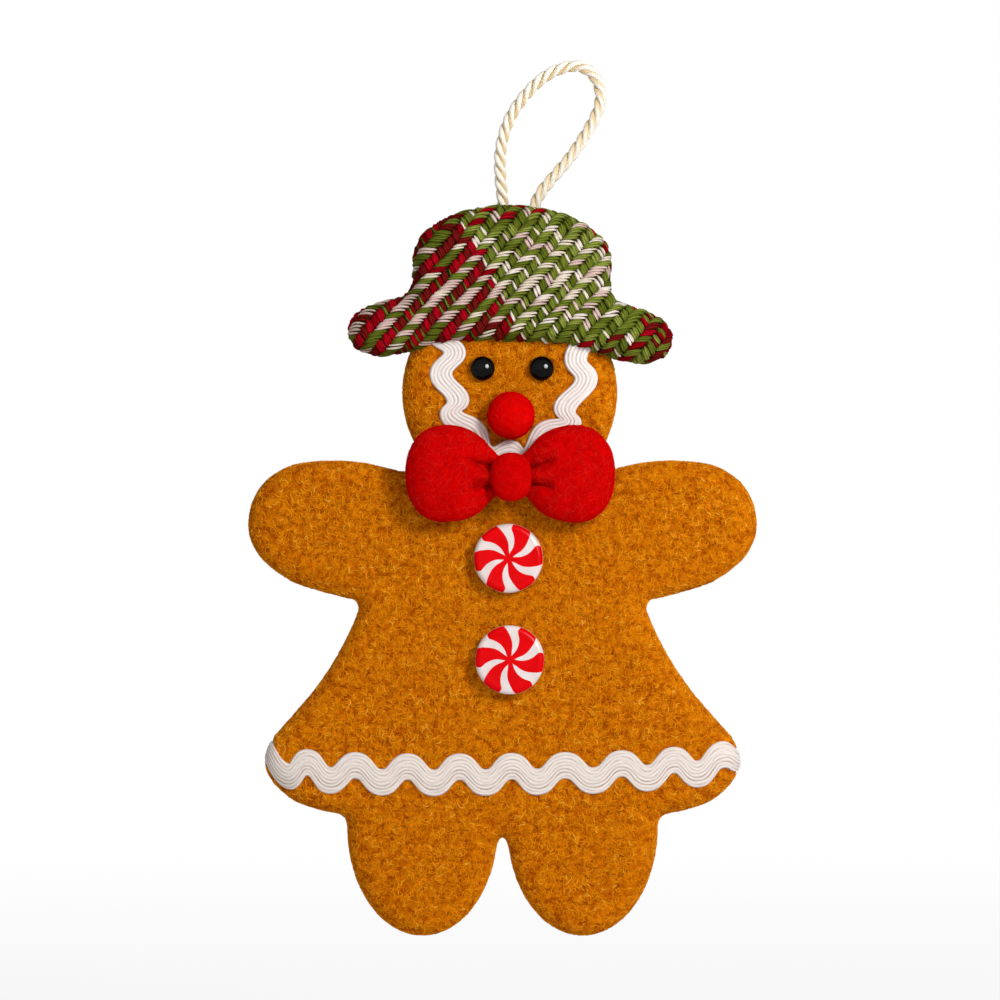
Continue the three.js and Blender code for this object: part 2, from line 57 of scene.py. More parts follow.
CLEARANCE = 0.3
LEG = Sizes(height=30, toe=27, half_width=18.7, gap=2.6, crotch_drop=2.5, toe_turn=math.radians(15))
SKIRT = Sizes(height=53, half_width=59.25)
FLARE_SHARES = [(0.135, 0.01), (0.351, 0.028), (0.654, 0.071), (0.905, 0.158)]
SKIRT_SHARES = [
    (1, 0.249), (0.972, 0.354), (0.901, 0.448), (0.793, 0.59), (0.707, 0.731), (0.64, 0.873),
    (0.606, 0.967),
]
ARM = Sizes(height=35.6, reach=63.4)
ARM_SHARES = [
    (0.607, 0.034), (0.729, 0.091), (0.838, 0.162), (0.942, 0.302), (0.99, 0.442), (1, 0.57),
    (0.982, 0.723), (0.927, 0.864), (0.828, 0.966), (0.689, 0.997), (0.552, 0.983), (0.41, 0.925),
]
HEAD = Sizes(radius=26.75, rise=16.9, shift=1.8, neck=math.radians(34), notch=math.radians(49))
BODY = Sizes(front=4.8, back=3, edge=6, felt=1.2, felt_inset=2)
HAT = Sizes(
    seat=10.75, crown_half_width=25, crown_height=36.4, dome=13.75, brim_half_width=40.8,
    brim_height=14, brim_rise=1.5, corner=3, front=10, back=6.3, edge=4.5, tilt=math.radians(1.7),
)
BRIM_SHARES = [
    (0.368, 0.057), (0.588, -0.093), (0.797, -0.196), (0.931, -0.093), (0.985, 0.086),
    (1, 0.271), (0.983, 0.457), (0.931, 0.636), (0.828, 0.779), (0.686, 0.9),
]
EYE = Sizes(radius=3, spacing=14.7, rise=6, shift=0.6)
NOSE = Sizes(half_width=5.9, half_height=5.9, depth=8, drop=5.75, shift=0.3)
KNOT = Sizes(half_width=5.15, half_height=6, depth=4.6, drop=0.75, shift=0.3)
DOME_TURN = math.radians(40)
BOW = Sizes(
    half_length=25.9, half_height=12, half_depth=5.4, drop=20.25, shift=0.1, back_share=0.75,
    glue_radius=3.5, glue_offset=14.5, glue_drop=4,
)
BOW_SHARES = [
    (0, 0.33, 0.2), (0.06, 0.34, 0.22), (0.12, 0.4, 0.3), (0.2, 0.58, 0.44), (0.27, 0.74, 0.66),
    (0.36, 0.87, 0.86), (0.48, 0.96, 0.98), (0.62, 1, 1), (0.76, 0.95, 0.94), (0.87, 0.8, 0.8),
    (0.95, 0.56, 0.55), (0.985, 0.34, 0.36), (1, 0.12, 0.15),
]
HEM = Sizes(width=6.7, pitch=12.95, wave=2, height=10.4, rise=2.8, tilt=0.7, shift=2.25, wrap=2)
FACE_TRIM_WIDTH = 5.8
FACE_TRIM_SHARES = [
    (-0.62, 0.48), (-0.516, 0.364), (-0.64, 0.168), (-0.485, -0.056), (-0.542, -0.215),
    (-0.318, -0.37), (-0.205, -0.6), (0.005, -0.547), (0.164, -0.617), (0.318, -0.382),
    (0.556, -0.29), (0.516, -0.131), (0.706, 0.108), (0.612, 0.304), (0.69, 0.48),
]
TRIM_GAP = 0.4
TRIM_THICKNESS = 1
BUTTON = Sizes(radius=8.6, thickness=3.4, round=1.3, crown=0.3, shift=1.8, glue_radius=5)
BUTTON_RISES = {"upper": 11, "lower": -14.25}
GLUE = 0.4
CORD = Sizes(radius=1.5, tail=13, offset=-1.8)
CORD_ROUTE = [
    (0, 0), (-0.4, 2.9), (-0.6, 5.9), (-0.7, 8.9), (-0.5, 11.9), (0.1, 14.9), (1, 17.9),
    (2.4, 20.9), (4.4, 23.9), (6.9, 26.9), (9.3, 29.2), (12.1, 31.1), (15.3, 32.4), (18.6, 32.9),
    (21.4, 31.8), (23.4, 29.7), (24.4, 26.9), (24.5, 23.9), (23.6, 20.9), (22.1, 17.9),
    (20.3, 14.9), (18.3, 11.9), (16.1, 8.9), (13.5, 5.9), (10.9, 2.9), (8.9, 0),
]

ARMPIT = LEG.height + SKIRT.height
SHOULDER = ARMPIT + ARM.height
HEAD_Z = SHOULDER + HEAD.rise
HAT_Z = HEAD_Z + HAT.seat
PIVOT_Z = HAT_Z + HAT.crown_height * math.cos(HAT.tilt) + CLEARANCE + CORD.radius
FRONT_SEAT = -(BODY.front + CLEARANCE)
ROUND_LENGTH = math.pi / 4 * (BODY.edge + BODY.front)
EYE_X = {
    side: HEAD.shift + EYE.shift + way * EYE.spacing / 2 for side, way in (("left", -1), ("right", 1))
}
BOW_X = HEAD.shift + BOW.shift
BOW_Z = HEAD_Z - BOW.drop
BOW_BACK = -(BODY.front + TRIM_GAP + TRIM_THICKNESS + CLEARANCE)
BOW_Y = BOW_BACK - BOW.back_share * BOW.half_depth
CORD_X = HEAD.shift + CORD.offset
HANG_X, HANG_RISE = max(CORD_ROUTE, key=lambda place: place[1])
ORIGIN = np.array([CORD_X + HANG_X, 0, PIVOT_Z + HANG_RISE - CORD.radius])

# Outlines, and forms that round over at their edge.


def joined(*parts):
    """Points from their coordinates, some of which may be single numbers."""
    return np.stack(np.broadcast_arrays(*parts), -1)


def quadratic(a, b, c, steps=24):
    t = np.arange(steps)[:, None] / steps
    a, b, c = (np.asarray(p, float) for p in (a, b, c))
    return a * (1 - t) ** 2 + 2 * b * t * (1 - t) + c * t**2


def arc(centre, rx, rz, start, end, steps=160):
    turn = start + (end - start) * np.arange(steps) / steps
    return joined(centre[0] + rx * np.cos(turn), centre[1] + rz * np.sin(turn))


def spline(points, steps=16, full=1.0):
    """A Catmull-Rom curve through points, without its last point. More than 1 rounds its crests."""
    p = np.asarray(points, float)
    last = len(p) - 1
    t = np.arange(steps)[:, None] / steps
    parts = []
    for i in range(last):
        a, b, c, d = p[max(i - 1, 0)], p[i], p[i + 1], p[min(i + 2, last)]
        u, v = full * (c - a) / 2, full * (d - b) / 2
        parts.append((2 * b - 2 * c + u + v) * t**3 + (-3 * b + 3 * c - 2 * u - v) * t**2 + u * t + b)
    return np.vstack(parts)


def distances(line):
    """How far along a line each of its points lies."""
    return np.concatenate([[0], np.cumsum(np.linalg.norm(np.diff(line, axis=0), axis=1))])


def spaced(points, step, closed):
    """Points at an even distance along a line."""
    line = np.vstack([points, points[:1]]) if closed else np.asarray(points, float)
    along = distances(line)
    count = max(int(round(along[-1] / step)), 2)
    at = np.linspace(0, along[-1], count + 1)
    if closed:
        at = at[:-1]
    return np.stack([np.interp(at, along, line[:, k]) for k in range(line.shape[1])], 1)


def scaled(shares, width, height, base):
    return [(x * width, base + z * height) for x, z in shares]


def figure_outline():
    leg_x = LEG.gap / 2 + LEG.half_width
    leg_side = leg_x + LEG.half_width
    crotch, toe = LEG.toe - LEG.crotch_drop, LEG.toe
    turn = LEG.toe_turn
    side = leg_side / SKIRT.half_width
    flare = [(side + (1 - side) * out, z) for out, z in FLARE_SHARES]
    skirt = scaled(flare + SKIRT_SHARES, SKIRT.half_width, SKIRT.height, LEG.height)
    arm = scaled(ARM_SHARES, ARM.reach, ARM.height, ARMPIT)
    inner_toe = (leg_x - LEG.half_width * math.cos(turn), toe - toe * math.sin(turn))
    half = np.vstack([
        quadratic((0, crotch), (LEG.gap / 2, crotch), inner_toe),
        arc((leg_x, toe), LEG.half_width, toe, math.pi + turn, TAU),
        quadratic((leg_side, toe), (leg_side, LEG.height), skirt[0]),
        spline(skirt),
        quadratic(skirt[-1], (skirt[-1][0], arm[0][1]), arm[0]),
        spline(arm),
    ])

    def on_head(angle):
        r = HEAD.radius
        return (HEAD.shift + r * math.cos(angle), HEAD_Z + r * math.sin(angle))

    neck, notch, shoulder = HEAD.neck, HEAD.notch, arm[-1]
    far = (-shoulder[0], shoulder[1])
    top = np.vstack([
        quadratic(shoulder, on_head(-notch), on_head(-neck)),
        arc((HEAD.shift, HEAD_Z), HEAD.radius, HEAD.radius, -neck, math.pi + neck),
        quadratic(on_head(math.pi + neck), on_head(math.pi + notch), far),
    ])
    return np.vstack([half, top, [far], (half[1:] * (-1, 1))[::-1]])


def hat_outline():
    side_top = HAT.crown_height - HAT.dome
    wide = HAT.crown_half_width
    brim = scaled(BRIM_SHARES, HAT.brim_half_width, HAT.brim_height, 0)
    half = np.vstack([
        spline([(0, HAT.brim_rise)] + brim),
        quadratic(brim[-1], (wide, HAT.brim_height), (wide, HAT.brim_height + HAT.corner)),
        [(wide, HAT.brim_height + HAT.corner)],
        arc((0, side_top), wide, HAT.dome, 0, math.pi / 2),
    ])
    whole = np.vstack([half, [(0, HAT.crown_height)], (half[1:] * (-1, 1))[::-1]])
    c, s = math.cos(-HAT.tilt), math.sin(-HAT.tilt)
    return whole @ np.array([[c, s], [-s, c]]) + (HEAD.shift, HAT_Z)


class Form:
    """A flat outline whose edge rounds over, from the widest line at y = 0 to the full depth."""

    chunk = 3000
    on_line = 0.05

    def __init__(self, outline, edge, step):
        self.line = spaced(outline, step, closed=True)
        self.after = np.roll(self.line, -1, axis=0)
        self.edge = edge

    def near(self, flat):
        """Signed distance to the outline, positive inside, the nearest point, and the way in."""
        parts = [self._near(chunk) for chunk in np.array_split(flat, len(flat) // self.chunk + 1)]
        return tuple(np.concatenate(column) for column in zip(*parts))

    def _near(self, q):
        a, b = self.line, self.after
        gap2 = (q[:, None, 0] - a[None, :, 0]) ** 2 + (q[:, None, 1] - a[None, :, 1]) ** 2
        k = gap2.argmin(1)
        best, spot, way = np.full(len(q), np.inf), np.zeros_like(q), np.zeros_like(q)
        for start in (k - 1, k):
            p, r = a[start], b[start]
            d = r - p
            t = np.clip(((q - p) * d).sum(1) / (d * d).sum(1), 0, 1)[:, None]
            on = p + t * d
            far = np.linalg.norm(q - on, axis=1)
            closer = far < best
            best = np.where(closer, far, best)
            spot[closer] = on[closer]
            normal = joined(-d[:, 1], d[:, 0]) / np.linalg.norm(d, axis=1)[:, None]
            way[closer] = normal[closer]
        up = (a[None, :, 1] > q[:, None, 1]) != (b[None, :, 1] > q[:, None, 1])
        rise = np.where(b[:, 1] == a[:, 1], 1, b[:, 1] - a[:, 1])
        cross = a[:, 0] + (b[:, 0] - a[:, 0]) * (q[:, None, 1] - a[:, 1]) / rise
        inside = (up & (q[:, None, 0] < cross)).sum(1) % 2 == 1
        gap = np.where(inside, best, -best)
        clear = best > self.on_line
        way[clear] = ((q - spot) * np.sign(gap)[:, None])[clear] / best[clear, None]
        return gap, spot, way

    def roll(self, flat, found, depth, reach=None, lift=0, side=-1):
        """Lays flat points over the edge. reach is how much of the pattern the edge takes up.
        Returns the places in mm and the way out of the surface. side is -1 for the front."""
        gap, spot, way = found
        reach = reach or self.edge
        past = self.edge - gap
        turn = np.clip(past / reach, 0, 1) * math.pi / 2
        over = past > 0
        inset = self.edge * (1 - np.sin(turn))
        at = np.where(over[:, None], spot + way * inset[:, None], flat)
        rim = -np.sin(turn) / self.edge
        out = joined(way[:, 0] * rim, side * np.cos(turn) / depth, way[:, 1] * rim)
        out[~over] = (0, side, 0)
        out /= np.linalg.norm(out, axis=1)[:, None]
        y = side * depth * np.cos(turn) - side * np.maximum(past - reach, 0)
        place = joined(at[:, 0], np.where(over, y, side * depth), at[:, 1])
        return place + out * np.reshape(lift, (-1, 1)), out

    def fill(self, step, inset=0):
        """A triangle lattice inside the outline, its border moved onto it.
        Returns the flat points, what near() says of them, the triangles and the border edges."""
        low, high = self.line.min(0) - step, self.line.max(0) + step
        rise = step * math.sqrt(3) / 2
        columns = int((high[0] - low[0]) / step) + 2
        rows = int((high[1] - low[1]) / rise) + 2
        j, i = np.mgrid[0:rows, 0:columns]
        flat = joined(low[0] + (i + (j % 2) / 2) * step, low[1] + j * rise).reshape(-1, 2)
        gap, spot, way = self.near(flat)
        spot = spot + way * inset
        gap = gap - inset
        snap = 0.35 * step
        inside = gap >= snap
        flat = np.where(inside[:, None], flat, spot)
        gap = np.where(inside, gap, 0)
        a = (j[:-1, :-1] * columns + i[:-1, :-1]).ravel()
        even = (j[:-1, :-1] % 2 == 0).ravel()
        b, c, d = a + 1, a + columns, a + columns + 1
        first = joined(a, b, np.where(even, c, d))
        second = joined(np.where(even, b, a), d, c)
        tris = np.vstack([first, second])
        tris = tris[inside[tris].any(1)]
        used, tris = np.unique(tris, return_inverse=True)
        tris = tris.reshape(-1, 3)
        edges = np.vstack([tris[:, [0, 1]], tris[:, [1, 2]], tris[:, [2, 0]]])
        key = edges[:, 0].astype(np.int64) * len(used) + edges[:, 1]
        back = edges[:, 1].astype(np.int64) * len(used) + edges[:, 0]
        border = edges[~np.isin(key, back)]
        return flat[used], (gap[used] + inset, (spot - way * inset)[used], way[used]), tris, border


figure = Form(figure_outline(), BODY.edge, step=0.6)
hat = Form(hat_outline(), HAT.edge, step=0.5)

# Meshes.


def new_mesh(name, places, faces, materials, body="figure", index=None, tone=None):
    """A smooth mesh from places in mm of the figure, and faces of one count of corners."""
    faces = np.asarray(faces, np.int32)
    corners = faces.shape[1]
    mesh = bpy.data.meshes.new(name)
    mesh.vertices.add(len(places))
    mesh.vertices.foreach_set("co", ((np.asarray(places) - ORIGIN) * MM).astype(np.float32).ravel())
    mesh.loops.add(faces.size)
    mesh.loops.foreach_set("vertex_index", faces.ravel())
    mesh.polygons.add(len(faces))
    mesh.polygons.foreach_set("loop_start", np.arange(0, faces.size, corners, dtype=np.int32))
    mesh.polygons.foreach_set("use_smooth", np.ones(len(faces), bool))
    for item in materials if isinstance(materials, list) else [materials]:
        mesh.materials.append(item)
    if index is not None:
        mesh.polygons.foreach_set("material_index", np.asarray(index, np.int32))
    if tone is not None:
        layer = mesh.attributes.new("tone", "FLOAT", "POINT")
        layer.data.foreach_set("value", np.asarray(tone, np.float32))
    mesh.update(calc_edges=True)
    mesh.validate()
    piece = bpy.data.objects.new(name, mesh)
    bpy.context.scene.collection.objects.link(piece)
    if body:
        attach(piece, body)
    return piece


def halves(quads):
    """Each quad as two triangles."""
    return np.vstack([quads[:, [0, 1, 2]], quads[:, [0, 2, 3]]])


def grid_faces(rows, columns):
    """Quads between closed rings of points."""
    r, c = np.meshgrid(np.arange(rows - 1), np.arange(columns), indexing="ij")
    a, b = r * columns + c, r * columns + (c + 1) % columns
    return joined(a, b, b + columns, a + columns).reshape(-1, 4)


def end_caps(rows, columns, first=0):
    """Quads over both ends of a tube of rings, between the points that lie opposite each other."""
    k = np.arange(first, columns // 2 - 1)
    far = columns - 1 + first - k
    near_end = joined(k, k + 1, far - 1, far)
    return np.vstack([near_end, near_end[:, ::-1] + (rows - 1) * columns])


def unit(v):
    return v / np.maximum(np.linalg.norm(v, axis=-1, keepdims=True), 1e-9)


def ways(lines, out):
    """The way across each line, and the way up from it that is nearest to out."""
    along = unit(np.gradient(lines, axis=1))
    across = unit(np.cross(along, out))
    return across, np.cross(across, along)


def tubes(lines, across_up, width, height, sides, ridges=0.0, ridge_count=0, twist=0.0):
    """Tubes along many lines at once: lines and the ways across and up are (count, points, 3), width
    and height (count, points). Returns the places, the faces and how many faces each tube has."""
    count, points, _ = lines.shape
    across, up = across_up
    theta = np.arange(sides) * TAU / sides
    along = np.linspace(0, 1, points)[:, None]
    radius = 1 + ridges * np.cos(ridge_count * theta[None] + twist * along)
    places = (
        lines[:, :, None]
        + across[:, :, None] * (width[:, :, None] * (np.cos(theta) * radius))[..., None]
        + up[:, :, None] * (height[:, :, None] * (np.sin(theta) * radius))[..., None]
    )
    one = grid_faces(points, sides)[:, ::-1]
    faces = one[None] + (np.arange(count) * points * sides)[:, None, None]
    return places.reshape(-1, 3), faces.reshape(-1, 4), len(one)


def ease(share):
    """A smooth step from 0 to 1."""
    share = np.clip(share, 0, 1)
    return share**2 * (3 - 2 * share)


def powered(wave, power):
    """A sine or cosine to a power, with its sign: below 1 it bends a circle towards a square."""
    return np.sign(wave) * np.abs(wave) ** power


def chance(cells, seed):
    """A fixed number from 0 to 1 for each pair of whole numbers: an integer hash with mixed bits."""
    x = np.asarray(cells[..., 0], np.int64) * 374761393 + np.asarray(cells[..., 1], np.int64) * 668265263
    x = (x + seed * 974634777) & 0xFFFFFFFF
    x = ((x ^ (x >> 13)) * 1274126177) & 0xFFFFFFFF
    x = ((x ^ (x >> 15)) * 2246822519) & 0xFFFFFFFF
    return ((x ^ (x >> 16)) & 0xFFFFFF) / 0xFFFFFF


def clumps(flat, cell, reach, seed):
    """Rounded clumps on a jittered grid: near 1 at a clump's middle, 0 between clumps."""
    cell = np.asarray(cell, float)
    home = np.floor(flat / cell).astype(int)
    best = np.zeros(len(flat))
    for i in (-1, 0, 1):
        for j in (-1, 0, 1):
            at = home + (i, j)
            jitter = joined(chance(at, seed), chance(at, seed + 1)) - 0.5
            middle = (at + 0.5 + 0.75 * jitter) * cell
            size = 0.65 + 0.35 * chance(at, seed + 2)
            best = np.maximum(best, size * (1 - (((flat - middle) / reach) ** 2).sum(1)))
    return best


def wobble(places, scale, seed):
    """Smooth noise from -1 to 1 at flat or solid places, with one wave for each scale mm."""
    points = np.asarray(places) / scale + seed * 17.3
    if points.shape[1] == 2:
        points = np.column_stack([points, np.full(len(points), float(seed))])
    return np.array([noise.noise(point) for point in points.tolist()])


# Materials. Colours are sRGB values from 0 to 255, and sizes are in mm.

GREEN, RED_YARN, WHITE = 0, 1, 2
GOLDEN = (1, 0.5, 0.06)
KINDS = {
    "pile": dict(grain=3, bump=0, sheen=0.25, glow=GOLDEN),
    "felt": dict(grain=1.6, bump=0.5, bump_grain=0.3),
    "fuzz": dict(grain=2, bump=0),
    "braid": dict(
        grain=0.5, tone=0.78, roughness=0.6, bump=0.5, bump_grain=0.2, specular=0.04, sheen=0.1,
        spread=(0.08, 0.8),
    ),
    "yarn": dict(grain=0.5, tone=0.66, bump=0.5, bump_grain=0.15, spread=(0.25, 0.75)),
}


def linear(colour):
    """An opaque colour in the linear values that shaders take."""
    shares = [c / 255 for c in colour]
    return (*(c / 12.92 if c <= 0.04045 else ((c + 0.055) / 1.055) ** 2.4 for c in shares), 1)


def feed(tree, node, inputs):
    """Sets a node's inputs, each to a value or from another node's output."""
    for key, value in inputs.items():
        if isinstance(value, bpy.types.NodeSocket):
            tree.links.new(value, node.inputs[key])
        else:
            node.inputs[key].default_value = value


def new_node(tree, kind, inputs, **settings):
    """Adds a node with its settings and inputs, and returns its outputs."""
    node = tree.nodes.new(kind)
    for key, value in settings.items():
        setattr(node, key, value)
    feed(tree, node, inputs)
    return node.outputs


def fabric(
    name, dark, light, grain, tone=0.0, roughness=0.95, bump=0.3, bump_grain=0.25, specular=0.0,
    sheen=0.0, glow=(1, 1, 1), spread=(0.3, 0.7),
):
    """Colour from dark to light by noise of one grain and a share of the mesh's tone, with a bump."""
    made = bpy.data.materials.new(name)
    made.use_nodes = True
    tree = made.node_tree
    place = new_node(tree, "ShaderNodeTexCoord", {})["Object"]

    def noise_at(size, detail):
        inputs = {"Vector": place, "Scale": 1 / (size * MM), "Detail": detail}
        return new_node(tree, "ShaderNodeTexNoise", inputs)["Fac"]

    value = noise_at(grain, 3)
    if tone:
        own = new_node(tree, "ShaderNodeAttribute", {}, attribute_name="tone")["Fac"]
        value = new_node(tree, "ShaderNodeMix", {"Factor": tone, "A": value, "B": own})["Result"]
    ramp = tree.nodes.new("ShaderNodeValToRGB")
    for element, position, colour in zip(ramp.color_ramp.elements, spread, (dark, light)):
        element.position, element.color = position, linear(colour)
    feed(tree, ramp, {"Fac": value})
    feed(tree, tree.nodes["Principled BSDF"], {
        "Base Color": ramp.outputs["Color"], "Roughness": roughness, "Specular IOR Level": specular,
        "Sheen Weight": sheen, "Sheen Tint": (*glow, 1),
    })
    if bump:
        inputs = {"Strength": bump, "Distance": bump_grain * MM, "Height": noise_at(bump_grain, 2)}
        normal = new_node(tree, "ShaderNodeBump", inputs)["Normal"]
        feed(tree, tree.nodes["Principled BSDF"], {"Normal": normal})
    return made


def shades(kind, rows):
    """Materials of one kind, from rows of a name and the dark and light colours."""
    return [fabric(name, dark, light, **KINDS[kind]) for name, dark, light in rows]


# The boucle runs from a dark end, painted shade in the crevices between clumps, to a light end on the
# clumps.
CLOTH = fabric(
    "boucle", (160, 70, 2), (222, 129, 8), grain=1.2, tone=0.66, bump=0.5, sheen=0.25, glow=GOLDEN,
)
# Pile tints from dark to pale, picked partly by the cloth's tone (painted shade and painted rim light)
# and partly at random.
PILE = shades("pile", [
    ("pile_dark", (176, 79, 2), (190, 92, 3)),
    ("pile_brown", (198, 99, 3), (210, 112, 4)),
    ("pile_gold", (216, 125, 5), (226, 138, 8)),
    ("pile_amber", (228, 144, 11), (234, 155, 20)),
    ("pile_pale", (235, 166, 38), (239, 180, 62)),
])
BACK_FELT = fabric("brown_felt", (142, 75, 9), (182, 102, 17), 1.1, bump=0.7, bump_grain=0.3)
# Copies of one red felt: the bow's and the nose's are set lighter than the knot's, painted light for how
# the lamps fall on them.
RED, LIT_BOW_RED, LIT_NOSE_RED = shades("felt", [
    ("red_felt", (182, 2, 2), (204, 4, 4)),
    ("bow_felt", (188, 2, 2), (214, 4, 4)),
    ("nose_felt", (200, 3, 2), (220, 5, 4)),
])
RED_FUZZ = shades("fuzz", [
    ("red_fuzz", (206, 6, 5), (214, 9, 8)),
    ("red_fuzz_pale", (228, 30, 26), (234, 44, 38)),
])
BROWN_FUZZ = shades("fuzz", [
    ("brown_fuzz", (160, 87, 13), (180, 103, 22)),
    ("brown_fuzz_pale", (184, 112, 34), (200, 130, 54)),
])
# The braids' dark ends are painted shade, laid in the grooves between their cords by the mesh's tone.
BRAID, FACE_BRAID = shades("braid", [
    ("white_braid", (158, 130, 116), (232, 222, 215)),
    ("face_braid", (180, 158, 148), (242, 234, 230)),
])
# The cord's tone is painted light: its light end a painted highlight along each strand, its golden dark
# end painted shade towards the grooves.
SATIN = fabric(
    "cream_cord", (218, 192, 146), (240, 233, 219), grain=3, tone=0.96, roughness=0.5, bump=0,
    specular=0.1, sheen=0.1, spread=(0.04, 0.8),
)
# The hat's ground cloth under the floats: its dark colour is partly its own, partly painted shade in the
# gaps between the floats.
HAT_GROUND = fabric("hat_ground", (58, 54, 18), (88, 84, 34), 1.2)
YARN = {
    GREEN: shades("yarn", [
        ("yarn_green_dark", (48, 54, 10), (98, 108, 32)),
        ("yarn_green", (54, 62, 12), (116, 128, 44)),
        ("yarn_green_pale", (66, 74, 18), (138, 149, 64)),
    ]),
    RED_YARN: shades("yarn", [
        ("yarn_red_dark", (68, 2, 6), (142, 7, 17)),
        ("yarn_red", (92, 3, 10), (174, 11, 28)),
        ("yarn_maroon", (56, 10, 8), (118, 24, 20)),
    ]),
    WHITE: shades("yarn", [
        ("yarn_white", (190, 168, 152), (243, 233, 223)),
        ("yarn_cream", (184, 166, 142), (236, 224, 206)),
        ("yarn_pink", (172, 136, 126), (224, 200, 190)),
    ]),
}
BEAD = fabric("black_bead", (1, 1, 1), (3, 3, 3), 4, roughness=0.08, bump=0, specular=0.1)
CANDY = [
    fabric("candy_red", (208, 1, 5), (222, 3, 9), 5, roughness=0.25, bump=0, specular=0.04),
    fabric("candy_white", (214, 199, 197), (229, 217, 214), 4, roughness=0.2, bump=0, specular=0.08),
    fabric("candy_side", (196, 168, 164), (222, 202, 198), 3, roughness=0.35, bump=0, specular=0.1),
]
NYLON = fabric(
    "washer_nylon", (232, 232, 226), (244, 244, 240), 2, roughness=0.4, bump=0.1, specular=0.4,
)
HOT_GLUE = fabric(
    "hot_glue", (206, 192, 150), (230, 220, 186), 2, roughness=0.35, bump=0.2, specular=0.4,
)
THREAD = fabric("red_thread", (150, 4, 6), (200, 12, 14), 0.4, roughness=0.7, bump=0.6)

# Camera, light and stage. The picture is 1000 pixels wide and high.

IMAGE = 1000
SCALE = 0.25
CENTRE_PX, HANG_PX = 502.5, 71.66
look_x = (IMAGE / 2 - CENTRE_PX) * SCALE - ORIGIN[0]
look_z = (HANG_PX - IMAGE / 2) * SCALE

camera = bpy.data.objects.new("camera", bpy.data.cameras.new("camera"))
camera.data.lens = 200
camera.data.sensor_width = 36
camera.data.clip_end = 100
camera_far = IMAGE * SCALE * camera.data.lens / camera.data.sensor_width
camera.location = (look_x * MM, -camera_far * MM, look_z * MM)
camera.rotation_euler = (math.pi / 2, 0, 0)
bpy.context.scene.collection.objects.link(camera)
bpy.context.scene.camera = camera


def lamp(name, way, far, size, power):
    """A round soft light that looks at the ornament's middle from a direction."""
    light = bpy.data.lights.new(name, "AREA")
    light.shape = "DISK"
    light.size = size
    light.energy = power
    made = bpy.data.objects.new(name, light)
    way = Vector(way).normalized()
    made.location = Vector((look_x * MM, 0, look_z * MM)) + way * far
    made.rotation_euler = way.to_track_quat("Z", "Y").to_euler()
    made.visible_camera = False
    bpy.context.scene.collection.objects.link(made)
    return made


lamp("key", (0.53, -0.78, 0.37), far=0.62, size=0.19, power=2.8)
lamp("fill", (-0.3, -0.92, 0.2), far=1.4, size=1.35, power=2.0)
lamp("back", (-0.3, 0.92, 0.24), far=1.4, size=1.35, power=1.8)
lamp("catch", (0.48, -0.84, 0.29), far=0.62, size=0.28, power=11).visible_diffuse = False


def white_to_camera(tree, shader, white, kept=None):
    """What the camera, gloss and glass see turns white, apart from a share of the real shading."""
    rays = new_node(tree, "ShaderNodeLightPath", {})
    seen = rays["Is Camera Ray"]
    for other in (rays["Is Glossy Ray"], rays["Is Transmission Ray"]):
        seen = new_node(tree, "ShaderNodeMath", {0: seen, 1: other}, operation="MAXIMUM")[0]
    if kept:
        seen = new_node(tree, "ShaderNodeMath", {0: seen, 1: kept}, operation="MULTIPLY")[0]
    glow = new_node(tree, white, {"Color": (1, 1, 1, 1), "Strength": 1})[0]
    return new_node(tree, "ShaderNodeMixShader", {0: seen, 1: shader.outputs[0], 2: glow})[0]


world = bpy.data.worlds.new("studio")
world.use_nodes = True
bpy.context.scene.world = world
sky = world.node_tree
air = sky.nodes["Background"]
feed(sky, air, {"Color": (1, 0.99, 0.98, 1), "Strength": 0.38})
feed(sky, sky.nodes["World Output"], {"Surface": white_to_camera(sky, air, "ShaderNodeBackground")})

paper = bpy.data.materials.new("studio_floor")
paper.use_nodes = True
sheet = paper.node_tree
pale = sheet.nodes["Principled BSDF"]
feed(sheet, pale, {"Base Color": (0.8, 0.8, 0.8, 1), "Roughness": 0.9})
spot = new_node(sheet, "ShaderNodeTexCoord", {})["Object"]
distance = new_node(sheet, "ShaderNodeVectorMath", {0: spot}, operation="LENGTH")["Value"]
fading = {"Value": distance, "From Min": 0.25, "From Max": 1.1, "To Min": 0.86, "To Max": 1.0}
away = new_node(sheet, "ShaderNodeMapRange", fading, interpolation_type="SMOOTHSTEP")["Result"]
lit = white_to_camera(sheet, pale, "ShaderNodeEmission", away)
feed(sheet, sheet.nodes["Material Output"], {"Surface": lit})

FLOOR_DROP, FLOOR_HALF = 40, 2500
corners = [(-1, -1), (1, -1), (1, 1), (-1, 1)]
floor_places = [(x * FLOOR_HALF, y * FLOOR_HALF, -FLOOR_DROP) for x, y in corners]
floor = new_mesh("floor", floor_places, [(0, 1, 2, 3)], paper, body=None)
bpy.context.scene.view_settings.view_transform = "Standard"

# Cord. Each of its three strands is a round of radius strand, whose middle lies at offset from the
# cord's own and goes round it once in every turn mm.

LAY = Sizes(turn=9.8, strand=0.72, offset=0.8, sides=22)
LEAN = Sizes(most=1.8, reach=3.5)


def eased(line, reach):
    """A line smoothed over an odd number of its points."""
    kernel, half = np.ones(reach) / reach, reach // 2
    longer = np.vstack([np.repeat(line[:1], half, 0), line, np.repeat(line[-1:], half, 0)])
    return np.stack([np.convolve(longer[:, k], kernel, "valid") for k in (0, 1)], 1)


